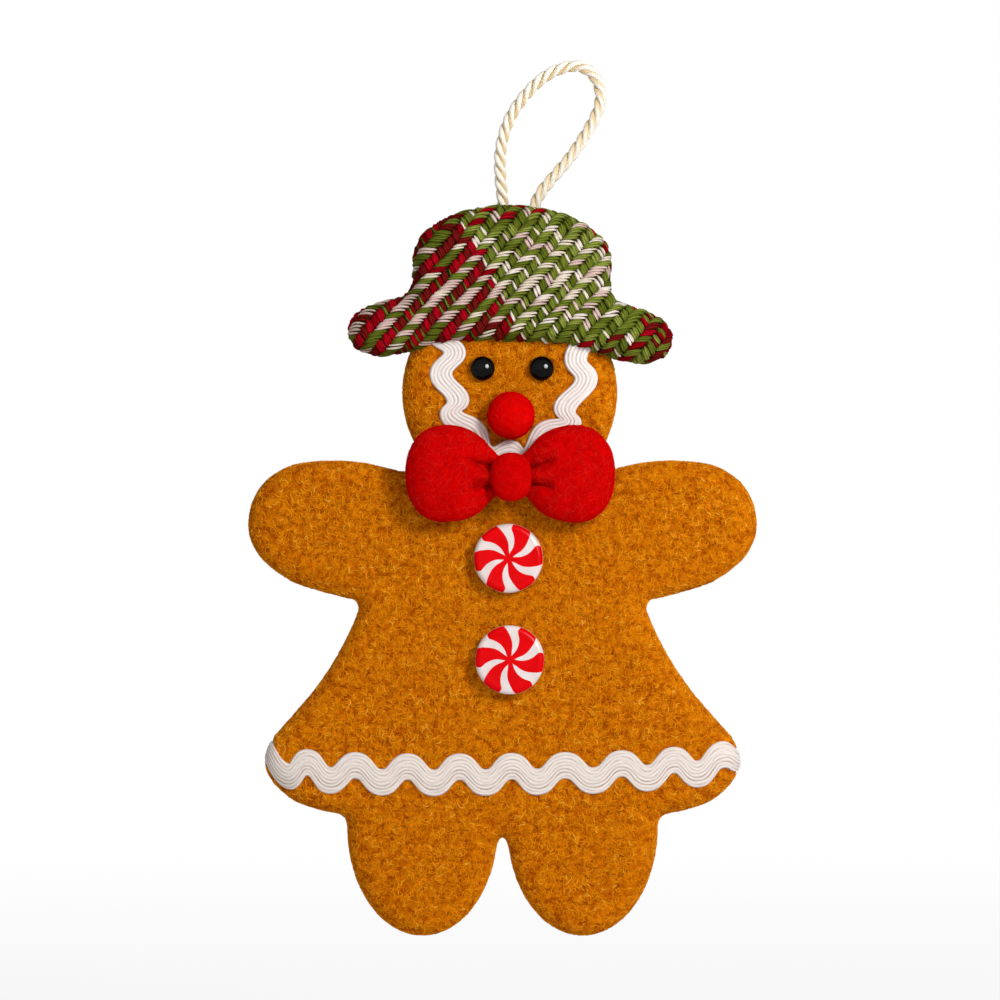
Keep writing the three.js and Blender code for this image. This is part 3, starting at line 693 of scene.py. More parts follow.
def cord_line():
    """The cord's middle in the figure's plane: a tail, the loop, and a tail that leans inwards."""
    foot_right = CORD_X + CORD_ROUTE[-1][0]
    tail = [CORD.tail * k / 4 for k in (4, 3, 2, 1)]
    route = [(CORD_X, PIVOT_Z - t) for t in tail]
    route += [(CORD_X + x, PIVOT_Z + z) for x, z in CORD_ROUTE]
    for t in reversed(tail):
        route.append((foot_right - LEAN.most * (1 - math.exp(-t / LEAN.reach)), PIVOT_Z - t))
    smooth = spaced(np.vstack([spline(route, steps=8), [route[-1]]]), step=0.3, closed=False)
    return eased(spaced(eased(smooth, reach=9), step=0.09, closed=False), reach=21)


def make_cord():
    line = cord_line()
    along = distances(line)
    path = joined(line[:, 0], 0, line[:, 1])
    across = np.cross(unit(np.gradient(path, axis=0)), (0, 1, 0))
    forward = np.array([0.0, -1.0, 0.0])
    strand, offset = LAY.strand, LAY.offset
    wide = strand / math.cos(math.atan(TAU * offset / LAY.turn))
    high = math.sqrt(3) * strand
    groove = math.atan2(high, wide) + math.asin(math.sqrt(3) * offset / math.hypot(high, wide))
    share = np.linspace(-1, 1, LAY.sides + 1)[:-1]
    psi = groove * share
    # Painted highlight along each strand's middle, falling to painted shade at the grooves between
    # strands.
    painted_sheen = np.interp(share, [-1, -0.5, -0.15, 0.15, 0.85, 1], [0.0, 0.12, 0.5, 1, 1, 0.5])
    painted_sheen = np.clip(painted_sheen + 0.05 * np.cos(9 * psi), 0, 1)
    parts = []
    for k in range(3):
        turn = TAU * (k / 3 - along / LAY.turn)
        out = across * np.cos(turn)[:, None] + forward * np.sin(turn)[:, None]
        round_it = -across * np.sin(turn)[:, None] + forward * np.cos(turn)[:, None]
        parts.append(
            path[:, None]
            + out[:, None] * (offset + strand * np.cos(psi))[:, None]
            + round_it[:, None] * (wide * np.sin(psi))[:, None]
        )
    ring = np.concatenate(parts, 1)
    faces = grid_faces(len(path), ring.shape[1])
    tone = np.tile(painted_sheen, 3 * len(path))
    cord = new_mesh("hanging_cord_twisted", ring.reshape(-1, 3), faces, SATIN, body=None, tone=tone)
    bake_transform(cord)
    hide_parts("hanging_cord", "cord_tail_left", "cord_tail_right")


make_cord()

# Body: cloth with clumps, its pile, and the felt back. The waves of the hem's braid lag behind an even
# pitch at right and left, and it wraps round the sides past the ends in WRAP. CLUMPS gives the cell
# and reach of the cloth's clumps in mm, their seed, height in mm and share of the tone, which paints
# shade in the crevices between clumps. The rings give inset and depth down the cloth's side and under
# the felt, and PILE_ZONES each zone's upper end. No pile grows more than HAT_COVER above the hat's
# lower end, or within BOW_COVER of the bow's middle.

WAVE_RIGHT = Sizes(start=12, length=48, lag=1.6)
WAVE_LEFT = Sizes(start=-40, end=-54, length=16, lag=3.6)
WRAP = Sizes(left=-54, right=54.5, length=7)
CLUMPS = [
    ((2.8, 2.2), (1.75, 1.45), 3, 0.32, 0.36),
    ((1.15, 1.05), (0.78, 0.72), 11, 0.26, 0.46),
    ((0.6, 0.58), (0.4, 0.4), 23, 0.11, 0.27),
]
CLUMP_SINK = 0.34
SIDE_RINGS = [(0.2, 0.8), (0.6, 1.6), (1.0, 2.4), (1.6, 3.0)]
BACK_RINGS = [(2.2, 3.22), (4.5, 3.22)]
PILE_TINTS = [0.3, 0.45, 0.64, 0.8]
PILE_STEP = 0.54
PILE_SIDE = 2.6
PILE_START = -10
CURL_POINTS = 5
HAT_COVER = 7
BOW_COVER = (22, 7)
PILE_ZONES = {
    "pile_legs": 26, "pile_hem": 44, "pile_skirt": 57, "pile_waist": 72, "pile_chest": 88,
    "pile_arms": 102, "pile_shoulders": 120, "pile_head": 400,
}


def hem_line(x):
    """Height of the hem braid's middle at each x. The waves are longer at right, short at the ends."""
    share = x / SKIRT.half_width
    lag = WAVE_RIGHT.lag * np.sin(math.pi * (x - WAVE_RIGHT.start) / WAVE_RIGHT.length)
    lag = np.where(x > WAVE_RIGHT.start, lag, 0)
    past = (np.maximum(x, WAVE_LEFT.end) - WAVE_LEFT.start) / WAVE_LEFT.length
    lag = np.where(x < WAVE_LEFT.start, WAVE_LEFT.lag * past**2, lag)
    left = np.clip((WRAP.left - x) / WRAP.length, 0, 2)
    right = np.clip((x - WRAP.right) / WRAP.length, 0, 2)
    lag = lag - 0.9 * left + 3.4 * right**2
    z = LEG.height + HEM.height + HEM.rise * np.abs(share) ** 3 + HEM.tilt * share
    z = z + 2.2 * left**1.5 + 0.4 * right
    turn = TAU * (x - lag - HEM.shift) / HEM.pitch
    return z + HEM.wave * 1.06 * (np.cos(turn) - 0.055 * np.cos(3 * turn))


def face_line():
    """Points along the middle of the braid round the face."""
    shares = np.array(FACE_TRIM_SHARES) * HEAD.radius
    line = np.vstack([spline(shares, steps=24, full=1.3), [shares[-1]]])
    return spaced(line, step=0.3, closed=False) + (HEAD.shift, HEAD_Z)


def under_braid(flat, inside, margin):
    """Whether each place lies under a braid, at least margin within its edges. inside is its
    distance to the outline, over which the braid takes a longer way than the cloth."""
    longer = (ROUND_LENGTH - BODY.edge) * np.clip(1 - inside / BODY.edge, 0, 1)
    x = flat[:, 0] + np.sign(flat[:, 0]) * longer
    hem = np.abs(flat[:, 1] - hem_line(x)) < HEM.width / 2 - margin
    line = face_line()
    near = np.flatnonzero(flat[:, 1] > SHOULDER - 8)
    gap = np.full(len(flat), np.inf)
    for part in np.array_split(near, len(near) // 4000 + 1):
        off = flat[part, None] - line[None, ::3]
        gap[part] = np.sqrt((off**2).sum(2).min(1))
    return hem | (gap < FACE_TRIM_WIDTH / 2 - margin)


def cloth_height(flat, gap):
    """How far the cloth stands out at its clumps, in mm, and its tone from 0 to 1: lighter on the clumps
    with painted shade between them, and painted light along the rim.
    """
    pulled = flat + 0.5 * np.sin(flat[:, ::-1] * (0.9, 0.33))
    height = tone = 0
    # The tone rises with the clumps' height: painted shade in the crevices between clumps.
    for places, (cell, reach, seed, tall, share) in zip((pulled, flat, flat), CLUMPS):
        found = clumps(places, cell, reach, seed)
        height = height + tall * found
        tone = tone + share * found
    rim = np.clip(gap / BODY.edge, 0, 1)
    height = (height - CLUMP_SINK) * (0.2 + 0.8 * rim)
    height = np.where(under_braid(flat, gap, 0.2), -0.3 - 0.45 * (1 - rim), height)
    # Painted light: the tone rises within 1.6 mm of the outline, so the cloth's rim looks lit.
    painted_rim_light = 0.3 * np.clip(1 - np.abs(gap) / 1.6, 0, 1)
    return height, np.clip(tone + painted_rim_light, 0, 1)


def border_ring(count, border, rings):
    """Quads from a lattice's border edges down through added rings of its border points."""
    ids = np.unique(border)
    where = np.full(count, -1)
    where[ids] = np.arange(len(ids))
    faces = []
    top = border
    for k in range(rings):
        low = count + k * len(ids) + where[border]
        faces.append(joined(top[:, 1], top[:, 0], low[:, 0], low[:, 1]))
        top = low
    return ids, np.vstack(faces)


def make_body():
    flat, found, tris, border = figure.fill(step=0.47)
    height, tone = cloth_height(flat, found[0])
    front, _ = figure.roll(flat, found, BODY.front, lift=height)
    rings = SIDE_RINGS + BACK_RINGS
    ids, sides = border_ring(len(flat), border, len(rings))
    places = [front]
    for inset, y in rings:
        uneven = 0.2 * chance(joined(ids, int(y * 10)), 5)
        at = found[1][ids] + found[2][ids] * (inset + uneven)[:, None]
        places.append(joined(at[:, 0], y, at[:, 1]))
    tones = np.concatenate([tone] + [0.5 * tone[ids]] * len(rings))
    body = new_mesh("body_cloth", np.vstack(places), np.vstack([tris, halves(sides)]), CLOTH, tone=tones)
    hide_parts("body_front_cloth", "body_padding")


def pile_curls(name, flat, found):
    """Short bent fibres that lie on the figure's front cloth."""
    count = len(flat)
    height, tone = cloth_height(flat, found[0])
    rim = np.clip(found[0] / BODY.edge, 0, 1)
    insets, ys = zip((0, 0), *SIDE_RINGS)
    tuck = np.interp(-found[0], ys, insets)
    place, out = figure.roll(flat, found, BODY.front, lift=height - tuck)
    u = unit(np.cross(out, (0.3, 0.1, 1.0)))
    v = np.cross(out, u)
    radius = rng.uniform(0.4, 1.5, count)
    start = rng.uniform(0, TAU, count)
    sweep = rng.uniform(0.8, 2.0, count) * rng.choice([-1, 1], count) / radius
    t = np.linspace(0, 1, CURL_POINTS)
    angle = start[:, None] + sweep[:, None] * t
    r = radius[:, None] * (1 + rng.uniform(-0.2, 0.4, count)[:, None] * t)
    middle = start + sweep / 2
    x = r * np.cos(angle) - radius[:, None] * np.cos(middle)[:, None]
    z = r * np.sin(angle) - radius[:, None] * np.sin(middle)[:, None]
    arch = rng.uniform(0.0, 0.2, count) * (0.15 + 0.85 * rim)
    lift = arch[:, None] * np.sin(math.pi * (0.08 + 0.84 * t)) + 0.02
    lines = place[:, None] + u[:, None] * x[..., None] + v[:, None] * z[..., None]
    lines = lines + out[:, None] * lift[..., None]
    thick = rng.uniform(0.1, 0.17, count)[:, None] * (0.3 + 0.7 * np.sin(math.pi * (0.12 + 0.76 * t)))
    places, faces, each = tubes(lines, ways(lines, out[:, None]), thick, thick, sides=3)
    # Tint from the cloth's tone: darker in the crevices and paler at the rim, painted shade and light,
    # with a random share.
    tint = np.searchsorted(PILE_TINTS, 0.6 * tone + 0.4 * rng.uniform(0, 1, count))
    return new_mesh(name, places, faces, PILE, index=np.repeat(tint, each))


def inside_disc(flat, x, z, radius):
    return (flat[:, 0] - x) ** 2 + (flat[:, 1] - z) ** 2 < radius**2


def make_pile():
    """The pile, zone by zone from the feet up, where no other piece lies over it."""
    low, high = figure.line.min(0) - PILE_SIDE, figure.line.max(0) + PILE_SIDE
    xs, zs = np.arange(low[0], high[0], PILE_STEP), np.arange(low[1], high[1], PILE_STEP)
    flat = np.stack(np.meshgrid(xs, zs), -1).reshape(-1, 2)
    flat = flat + rng.uniform(-0.5, 0.5, flat.shape) * PILE_STEP
    found = figure.near(flat)
    hidden = (found[0] < -PILE_SIDE) | under_braid(flat, found[0], -0.3)
    for rise in BUTTON_RISES.values():
        hidden |= inside_disc(flat, BUTTON.shift, ARMPIT + rise, BUTTON.radius - 0.5)
    for x in EYE_X.values():
        hidden |= inside_disc(flat, x, HEAD_Z + EYE.rise, EYE.radius - 0.2)
    hidden |= flat[:, 1] > HAT_Z + HAT_COVER
    hidden |= (np.abs(flat - (BOW_X, BOW_Z)) < BOW_COVER).all(1)
    flat, found = flat[~hidden], [part[~hidden] for part in found]
    start = PILE_START
    for zone, end in PILE_ZONES.items():
        part = (flat[:, 1] >= start) & (flat[:, 1] < end)
        piece = pile_curls(zone, flat[part], [column[part] for column in found])
        start = end


def make_back_felt():
    flat, found, tris, border = figure.fill(step=1.1, inset=BODY.felt_inset)
    front_y = BODY.back + CLEARANCE
    soft = 0.35 * np.clip(1 - (found[0] - BODY.felt_inset) / 0.9, 0, 1) ** 2
    back_y = front_y + BODY.felt - soft + 0.06 * wobble(flat, scale=3.0, seed=4)
    back = joined(flat[:, 0], back_y, flat[:, 1])
    front = joined(flat[:, 0], front_y, flat[:, 1])
    rim = np.hstack([border, border[:, ::-1] + len(flat)])
    faces = np.vstack([tris[:, ::-1], tris + len(flat), halves(rim)])
    felt = new_mesh("back_felt", np.vstack([back, front]), faces, BACK_FELT)
    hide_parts("body_back_felt")
    return felt


make_body()
make_pile()
back_felt = make_back_felt()

# Hat: a two-by-two twill on a plain ground. Picks and warps are counted from the hat's middle, and a
# step is the way from one to the next in mm. LEFT_SHADE moves the choice of shade left of the green.

WARP_STEP = np.array([1.92, 0.3])
WEFT_STEP = np.array([0.65, -1.16])
WEAVE_RISE = 18.75
WEAVE_SPAN = 46
WHITE_PICKS = (-7, -4, -2, 0, 2, 3, 4, 6, 7, 9, 11)
RED_PICKS = (-13, -11, 16, 18, 20, 21)
GREEN_WARPS = (-2, 12)
LEFT_SHADE = {GREEN: -0.35, RED_YARN: 0.15, WHITE: 0.5}
GROUND_DEPTH = 0.95
YARN_DEPTH = 0.35
PLIES = 4
YARN_RING = 16
FLOAT_POINTS = 10
LUCK_SEED, OWN_SEED, ASIDE_SEED, LEAN_SEED, SWAY_SEED, SHADE_SEED = 50, 60, 64, 70, 80, 90


# The ground's dark colour stands partly for painted shade in the gaps between the yarn floats.
def make_hat_ground():
    flat, found, tris, border = hat.fill(step=0.9)
    front, _ = hat.roll(flat, found, HAT.front - GROUND_DEPTH, lift=-0.35)
    back, _ = hat.roll(flat, found, HAT.back - GROUND_DEPTH, lift=-0.35, side=1)
    rim = np.unique(border)
    same = np.arange(len(flat)) + len(flat)
    same[rim] = rim
    faces = np.vstack([tris, same[tris][:, ::-1]])
    ground = new_mesh("hat_ground", np.vstack([front, back]), faces, HAT_GROUND)
    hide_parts("hat_front_cloth", "hat_back_cloth", "hat_padding")


def weft_yarns(pick, warp, luck):
    """Each weft's yarn, and the width of its two strands, by its place in the plaid."""
    tint = np.full(len(pick), GREEN)
    tint[np.isin(pick, WHITE_PICKS)] = WHITE
    tint[np.isin(pick, RED_PICKS)] = RED_YARN
    left, right = warp < GREEN_WARPS[0], warp > GREEN_WARPS[1]
    tint[left & (pick == 1)] = WHITE
    tint[left & (tint == GREEN) & (luck > 0.72)] = RED_YARN
    tint[left & (tint == WHITE) & (luck < 0.14)] = GREEN
    tint[left & (pick < -7) & (luck > 0.6)] = RED_YARN
    tint[right & (tint == WHITE) & (luck > 0.55)] = GREEN
    tint[right & (tint == GREEN) & (pick > 12) & (luck > 0.4)] = RED_YARN
    return [(tint, np.where(tint == WHITE, 0.8, 1.0))] * 2


def warp_yarns(pick, warp, luck):
    """The same for the warps: a pair of red, a fat green, or a thin white beside a thin green."""
    first, second = np.full(len(pick), GREEN), np.full(len(pick), GREEN)
    wide, thin = np.ones(len(pick)), np.ones(len(pick))
    left, right = warp < GREEN_WARPS[0], warp > GREEN_WARPS[1]
    olive = left & (luck > 0.62)
    first[left] = second[left] = RED_YARN
    first[olive] = GREEN
    wide[olive] = 0.6
    first[right] = RED_YARN
    second[right & (luck > 0.5)] = RED_YARN
    pale = ~left & ~right & (np.mod(warp, 2) == 0)
    pale &= ~((pick < -8) & (luck < 0.35)) & ~((warp > 9) & (luck < 0.7))
    first[pale] = WHITE
    wide[pale] = 0.72
    thin[pale] = 0.8
    second[pale & (luck > 0.62)] = WHITE
    return [(first, wide), (second, thin)]


def weave(i, j):
    """Where the weave's crossing of warp i and pick j lies: an even lattice, pulled about a little."""
    x = HEAD.shift + i * WARP_STEP[0] + j * WEFT_STEP[0]
    z = HAT_Z + WEAVE_RISE + i * WARP_STEP[1] + j * WEFT_STEP[1]
    pull_x = 0.42 * np.sin(z / 5.3 + 0.9) + 0.22 * np.sin(x / 3.1 + z / 7)
    pull_z = 0.36 * np.sin(x / 6.7) + 0.2 * np.sin(x / 2.9 - z / 4.1 + 2)
    return joined(x + pull_x, z + pull_z)


def make_floats(where, side, depth):
    """The yarns where they float over each other, each of two strands, on one side of the hat."""
    i, j = np.meshgrid(np.arange(-WEAVE_SPAN, WEAVE_SPAN), np.arange(-2 * WEAVE_SPAN, 2 * WEAVE_SPAN))
    i, j = i.T.ravel(), j.T.ravel()
    groups = {GREEN: [], RED_YARN: [], WHITE: []}
    t = np.linspace(-1, 1, FLOAT_POINTS)
    for is_warp in (True, False):
        starts = np.mod(i + j, 4) == (2 if is_warp else 0)
        key = joined(i[starts], j[starts])
        gap = hat.near(weave(key[:, 0] + (not is_warp) / 2, key[:, 1] + is_warp / 2))[0]
        keep = gap > -1.3
        key, gap = key[keep], gap[keep]
        luck = chance(key, LUCK_SEED + is_warp)
        pitch, stagger, spread = (1.75, -0.26, 0.34) if is_warp else (1.2, 0.24, 0.4)
        yarns = (warp_yarns if is_warp else weft_yarns)(key[:, 1], key[:, 0], luck)
        for strand, (tint, share) in enumerate(yarns):
            off = (strand - 0.5) * (1 if is_warp else -1)
            own = chance(key, OWN_SEED + strand + 2 * is_warp)
            ahead = 2 * (strand - 0.5) * stagger + 0.1 * (luck[:, None] - 0.5)
            run = 0.5 + (1.04 + 0.22 * own[:, None]) * t + ahead
            lean = 0.2 * (chance(key, LEAN_SEED) - 0.5)[:, None]
            apart = np.where(tint == WHITE, 0.5, spread)
            aside = off * apart + 0.1 * (chance(key, ASIDE_SEED + strand) - 0.5)
            aside = aside[:, None] + lean * t
            if is_warp:
                flat = weave(key[:, :1] + aside, key[:, 1:] + run)
            else:
                flat = weave(key[:, :1] + run, key[:, 1:] + aside - 0.2 * (1 - t**2))
            width = np.where(tint == WHITE, 0.3, 0.35) * pitch * share * (0.88 + 0.24 * own)
            for value, group in groups.items():
                of = tint == value
                if of.any():
                    parts = [column[of] for column in (flat, width, key, gap)]
                    group.append(float_mesh(*parts, is_warp, strand, LEFT_SHADE[value], side, depth))
    for name, (value, parts) in zip(("green", "red", "white"), groups.items()):
        places, faces, index, tone = zip(*parts)
        first = np.cumsum([0] + [len(part) for part in places])
        faces = np.vstack([part + start for part, start in zip(faces, first)])
        piece = new_mesh(
            f"hat_yarn_{name}_{where}", np.vstack(places), faces, YARN[value],
            index=np.concatenate(index), tone=np.concatenate(tone),
        )


def float_mesh(flat, width, key, gap, is_warp, strand, left_shade, side, depth):
    """Tubes for one set of floats: places, faces, material of each face, and tone of each place."""
    count, points, _ = flat.shape
    t = np.linspace(-1, 1, points)
    crown = 0.14 if is_warp else 0.32
    sway = 0.16 * (chance(key, SWAY_SEED + strand)[:, None] - 0.5)
    rim = np.clip(1 - gap / HAT.edge, 0, 1)[:, None]
    lift = crown + sway - 0.8 * np.abs(t) ** 2.6 * (1 - 0.6 * rim) - 0.6 * rim**2
    flat = flat.reshape(-1, 2)
    laid, out = hat.roll(flat, hat.near(flat), depth, 1.3 * HAT.edge, 0, side)
    laid, out = laid.reshape(count, points, 3), out.reshape(count, points, 3)
    lines = laid + out * lift[..., None]
    width = width[:, None] * np.clip(1 - np.abs(t) ** 3, 0.06, 1) ** 0.7
    thick = width * (0.86 - 0.25 * rim)
    turns = 1.8 + 0.5 * strand
    places, faces, each = tubes(
        lines, ways(lines, out), width, thick, YARN_RING, ridges=0.16, ridge_count=PLIES, twist=turns,
    )
    # Painted light and shade in the yarn's tone: lighter on each ply's crown and the yarn's outer side,
    # darker between plies, underneath and towards the float's ends where it dives under.
    theta = np.arange(YARN_RING) * TAU / YARN_RING
    plies = 0.5 + 0.5 * np.cos(PLIES * theta[None] + turns * np.linspace(0, 1, points)[:, None])
    top = 0.5 + 0.5 * np.sin(theta)[None] * np.ones((points, 1))
    tone = (0.6 * plies + 0.38 * top) * (1 - 0.6 * np.abs(t[:, None]) ** 2)
    left = key[:, 0] < GREEN_WARPS[0]
    tint = np.clip(3 * (chance(key, SHADE_SEED) + left_shade * left), 0, 2.9).astype(int)
    return places, faces, np.repeat(tint, each), np.tile(tone.ravel(), count)


make_hat_ground()
make_floats("front", -1, HAT.front - YARN_DEPTH)
make_floats("back", 1, HAT.back - YARN_DEPTH)

# Wavy braid. FAN is how far its cords fan out at the crests, and the braid sinks into the cloth by
# BRAID_SINK, and by EDGE_SINK more where it goes over the edge.

FAN = 0.32
BRAID_SINK = 0.25
EDGE_SINK = 0.75


def make_strip(name, centre, across, width, node, cords, columns, look):
    """A braid of parallel cords along a wavy line, fanned out a little at the crests."""
    t = np.linspace(-0.5, 0.5, columns)
    along = unit(np.gradient(centre, axis=0))
    forth = joined(across[:, 1], -across[:, 0])
    forth = forth * np.sign((forth * along).sum(1))[:, None]
    turn = np.arctan2(forth[:, 0] * along[:, 1] - forth[:, 1] * along[:, 0], (forth * along).sum(1))
    c, s = np.cos(FAN * turn), np.sin(FAN * turn)
    across = joined(across[:, 0] * c - across[:, 1] * s, across[:, 0] * s + across[:, 1] * c)
    rows = len(centre)
    run = np.cumsum(np.linalg.norm(np.gradient(centre, axis=0), axis=1))[:, None]
    sway = 0.008 * np.sin(run / 1.7) * np.cos(5 * t)[None] + 0.006 * np.sin(run / 0.83) * np.sin(9 * t)
    aside = width * (t[None] + sway * (1 - np.abs(2 * t)) ** 0.5)
    flat = (centre[:, None] + across[:, None] * aside[..., None]).reshape(-1, 2)
    found = figure.near(flat)
    ridge = np.abs(np.sin(math.pi * cords * (t + 0.5))) ** 0.8
    groove = np.floor(cords * (t + 0.5) + 0.5).astype(int)
    ridge = 1 - (1 - ridge) * (0.35 + 0.65 * chance(joined(groove, cords), 6))
    fine = np.abs(np.sin(3 * math.pi * cords * (t + 0.5)))
    rim = EDGE_SINK * np.clip(1 - found[0] / ROUND_LENGTH, 0, 1)
    relief = (1 - np.abs(2 * t) ** 8) ** 0.5 * (0.64 + 0.3 * ridge + 0.06 * fine)
    top_lift = TRIM_GAP + (TRIM_THICKNESS - 0.1) * relief - BRAID_SINK
    low_lift = np.full(columns, TRIM_GAP - 0.35)
    top, low = [
        figure.roll(flat, found, BODY.front, ROUND_LENGTH, np.tile(lift, rows) - rim)[0]
        for lift in (top_lift, low_lift)
    ]
    shape = (rows, columns, 3)
    ring = np.concatenate([top.reshape(shape), low.reshape(shape)[:, ::-1]], 1).reshape(-1, 3)
    faces = np.vstack([grid_faces(rows, 2 * columns)[:, ::-1], end_caps(rows, 2 * columns)])
    streak = 0.14 * np.sin(run / 0.9) * np.sin(31 * t)[None] + 0.1 * np.sin(run / 2.3) * np.cos(47 * t)
    # The tone follows the cords' ridges: painted shade in the grooves between cords; the streaks are
    # random.
    tone = np.clip(0.75 * ridge[None] + 0.2 * fine[None] + streak, 0, 1)
    tone = np.concatenate([tone, tone[:, ::-1]], 1).ravel()
    strip = new_mesh(name, ring, faces, look, tone=tone)
    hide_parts(node)


def make_braid():
    line = face_line()[::-1]
    middle = line - (HEAD.shift, HEAD_Z)
    across = unit(joined(middle[:, 0], np.minimum(middle[:, 1], 0)))
    make_strip("face_braid", line, across, FACE_TRIM_WIDTH, "face_rickrack", 6, 61, FACE_BRAID)
    reach = SKIRT.half_width - BODY.edge + ROUND_LENGTH + HEM.wrap
    x = np.arange(-reach, reach, 0.32)
    line, across = joined(x, hem_line(x)), np.tile([0.0, 1.0], (len(x), 1))
    make_strip("hem_braid", line, across, HEM.width, "hem_rickrack", 8, 81, BRAID)


make_braid()

# Eyes. TIP is the radius at the middle of a turned piece, where its rings end.

TIP = 0.001


def lathe(profile, x, y, z, sides=96, squash=1.0, square=1.0):
    """A turned piece along Y: the profile gives radius and depth, front first."""
    theta = np.arange(sides) * TAU / sides
    c, s = powered(np.cos(theta), square), powered(np.sin(theta), square)
    ring = [joined(x + r * c, y + d, z + squash * r * s) for r, d in profile]
    return np.vstack(ring), grid_faces(len(profile), sides)[:, ::-1]


def make_eyes():
    """Round-fronted beads, widest a little in front of the cloth, on their shanks."""
    radius, proud, dome = EYE.radius + 0.05, 1.0, 2.05
    turn = np.linspace(math.pi / 2, -0.42, 40)
    profile = [(max(radius * math.cos(a), TIP), -proud - dome * math.sin(a)) for a in turn]
    profile += [(1.1, 0.35), (1.1, 5.5), (TIP, 5.5)]
    for side, x in EYE_X.items():
        places, faces = lathe(profile, x, FRONT_SEAT, HEAD_Z + EYE.rise)
        eye = new_mesh(f"bead_eye_{side}", places, faces, BEAD)
        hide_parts(f"eye_{side}")


make_eyes()

# Felt pieces and their hairs.

HAIR_POINTS = 7


def corners_of(piece):
    """A piece's points in mm of the figure, and its triangles."""
    mesh = piece.data
    mesh.calc_loop_triangles()
    verts = np.empty(len(mesh.vertices) * 3, np.float32)
    mesh.vertices.foreach_get("co", verts)
    tris = np.empty(len(mesh.loop_triangles) * 3, np.int32)
    mesh.loop_triangles.foreach_get("vertices", tris)
    return verts.reshape(-1, 3).astype(float) / MM + ORIGIN, tris.reshape(-1, 3)


def fuzz(name, piece, count, length, thick, tints, keep):
    """Fine hairs that lie on a piece's surface, each at its own random slant."""
    verts, tris = corners_of(piece)
    a, b, c = verts[tris[:, 0]], verts[tris[:, 1]], verts[tris[:, 2]]
    cross = np.cross(b - a, c - a)
    area = np.linalg.norm(cross, axis=1) * keep(unit(cross))
    pick = rng.choice(len(tris), count, p=area / area.sum())
    w = rng.dirichlet((1, 1, 1), count)
    start = a[pick] * w[:, :1] + b[pick] * w[:, 1:2] + c[pick] * w[:, 2:]
    normal = unit(cross[pick])
    tree = BVHTree.FromPolygons([Vector(v) for v in verts], tris.tolist())
    turn = rng.uniform(0, TAU, count)
    u = unit(np.cross(normal, (0.3, 0.2, 1.0)))
    way = u * np.cos(turn)[:, None] + np.cross(normal, u) * np.sin(turn)[:, None]
    curve = rng.uniform(-1, 1, count) * 0.9 / HAIR_POINTS
    size = rng.uniform(*length, count) / HAIR_POINTS
    height = rng.uniform(0.02, 0.1, count)
    lines, ups = np.zeros((2, count, HAIR_POINTS, 3))
    for n in range(count):
        at, d = start[n], way[n]
        for k in range(HAIR_POINTS):
            hit, nor, _, _ = tree.find_nearest(Vector(at))
            hit, nor = np.array(hit), np.array(nor)
            lines[n, k] = hit + nor * (height[n] * math.sin(math.pi * (k + 0.3) / HAIR_POINTS) + thick)
            ups[n, k] = nor
            d = d - nor * (d @ nor)
            d = d / max(np.linalg.norm(d), 1e-6)
            d = d * math.cos(curve[n]) + np.cross(nor, d) * math.sin(curve[n])
            at = hit + d * size[n]
    t = np.linspace(0, 1, HAIR_POINTS)
    width = np.tile(thick * (0.4 + 0.6 * np.sin(math.pi * (0.1 + 0.8 * t))), (count, 1))
    places, faces, each = tubes(lines, ways(lines, ups), width, width, sides=3)
    tint = rng.choice(len(tints), count, p=[0.7, 0.3])
    hair = new_mesh(name, places, faces, tints, index=np.repeat(tint, each))


def make_dome(name, size, x, y, z, node, padding, back=0.0, seed=1, square=1.0, look=RED):
    """A padded ball or knot: a dome whose side turns in, with soft dents."""
    rise = size.depth / (1 + math.sin(DOME_TURN))
    middle = rise * math.sin(DOME_TURN)
    start = math.asin(max(min((-back - middle) / rise, 1), -0.999))
    turn = np.linspace(math.pi / 2, start, 56)
    profile = [(max(size.half_width * math.cos(a), TIP), -middle - rise * math.sin(a)) for a in turn]
    squash = size.half_height / size.half_width
    places, faces = lathe(profile, x, y, z, 112, squash, square)
    out = unit(places - np.array([x, y - middle, z]))
    bump = 0.16 * wobble(places, 4.5, seed) + 0.035 * wobble(places, 0.9, seed + 1)
    front = places[:, 1] < y - 0.4
    dome = new_mesh(name, places + out * (bump * front)[:, None], faces, look)
    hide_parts(node, padding)
    return dome


def make_nose_and_knot():
    nose = make_dome(
        "nose_ball", NOSE, HEAD.shift + NOSE.shift, FRONT_SEAT, HEAD_Z - NOSE.drop,
        "nose_felt", "nose_padding", seed=3, look=LIT_NOSE_RED,
    )
    fuzz("nose_fuzz", nose, 300, (1.0, 2.6), 0.035, RED_FUZZ, lambda n: n[:, 1] < 0.2)
    thread_front = BOW_Y - BOW_SHARES[1][2] * BOW.half_depth - CLEARANCE - 0.4
    knot = make_dome(
        "bow_knot", KNOT, HEAD.shift + KNOT.shift, thread_front - CLEARANCE, BOW_Z - KNOT.drop,
        "bow_knot_felt", "bow_knot_padding", back=-1.2, seed=5, square=0.88,
    )
    fuzz("knot_fuzz", knot, 200, (1.0, 2.4), 0.03, RED_FUZZ, lambda n: n[:, 1] < 0.2)


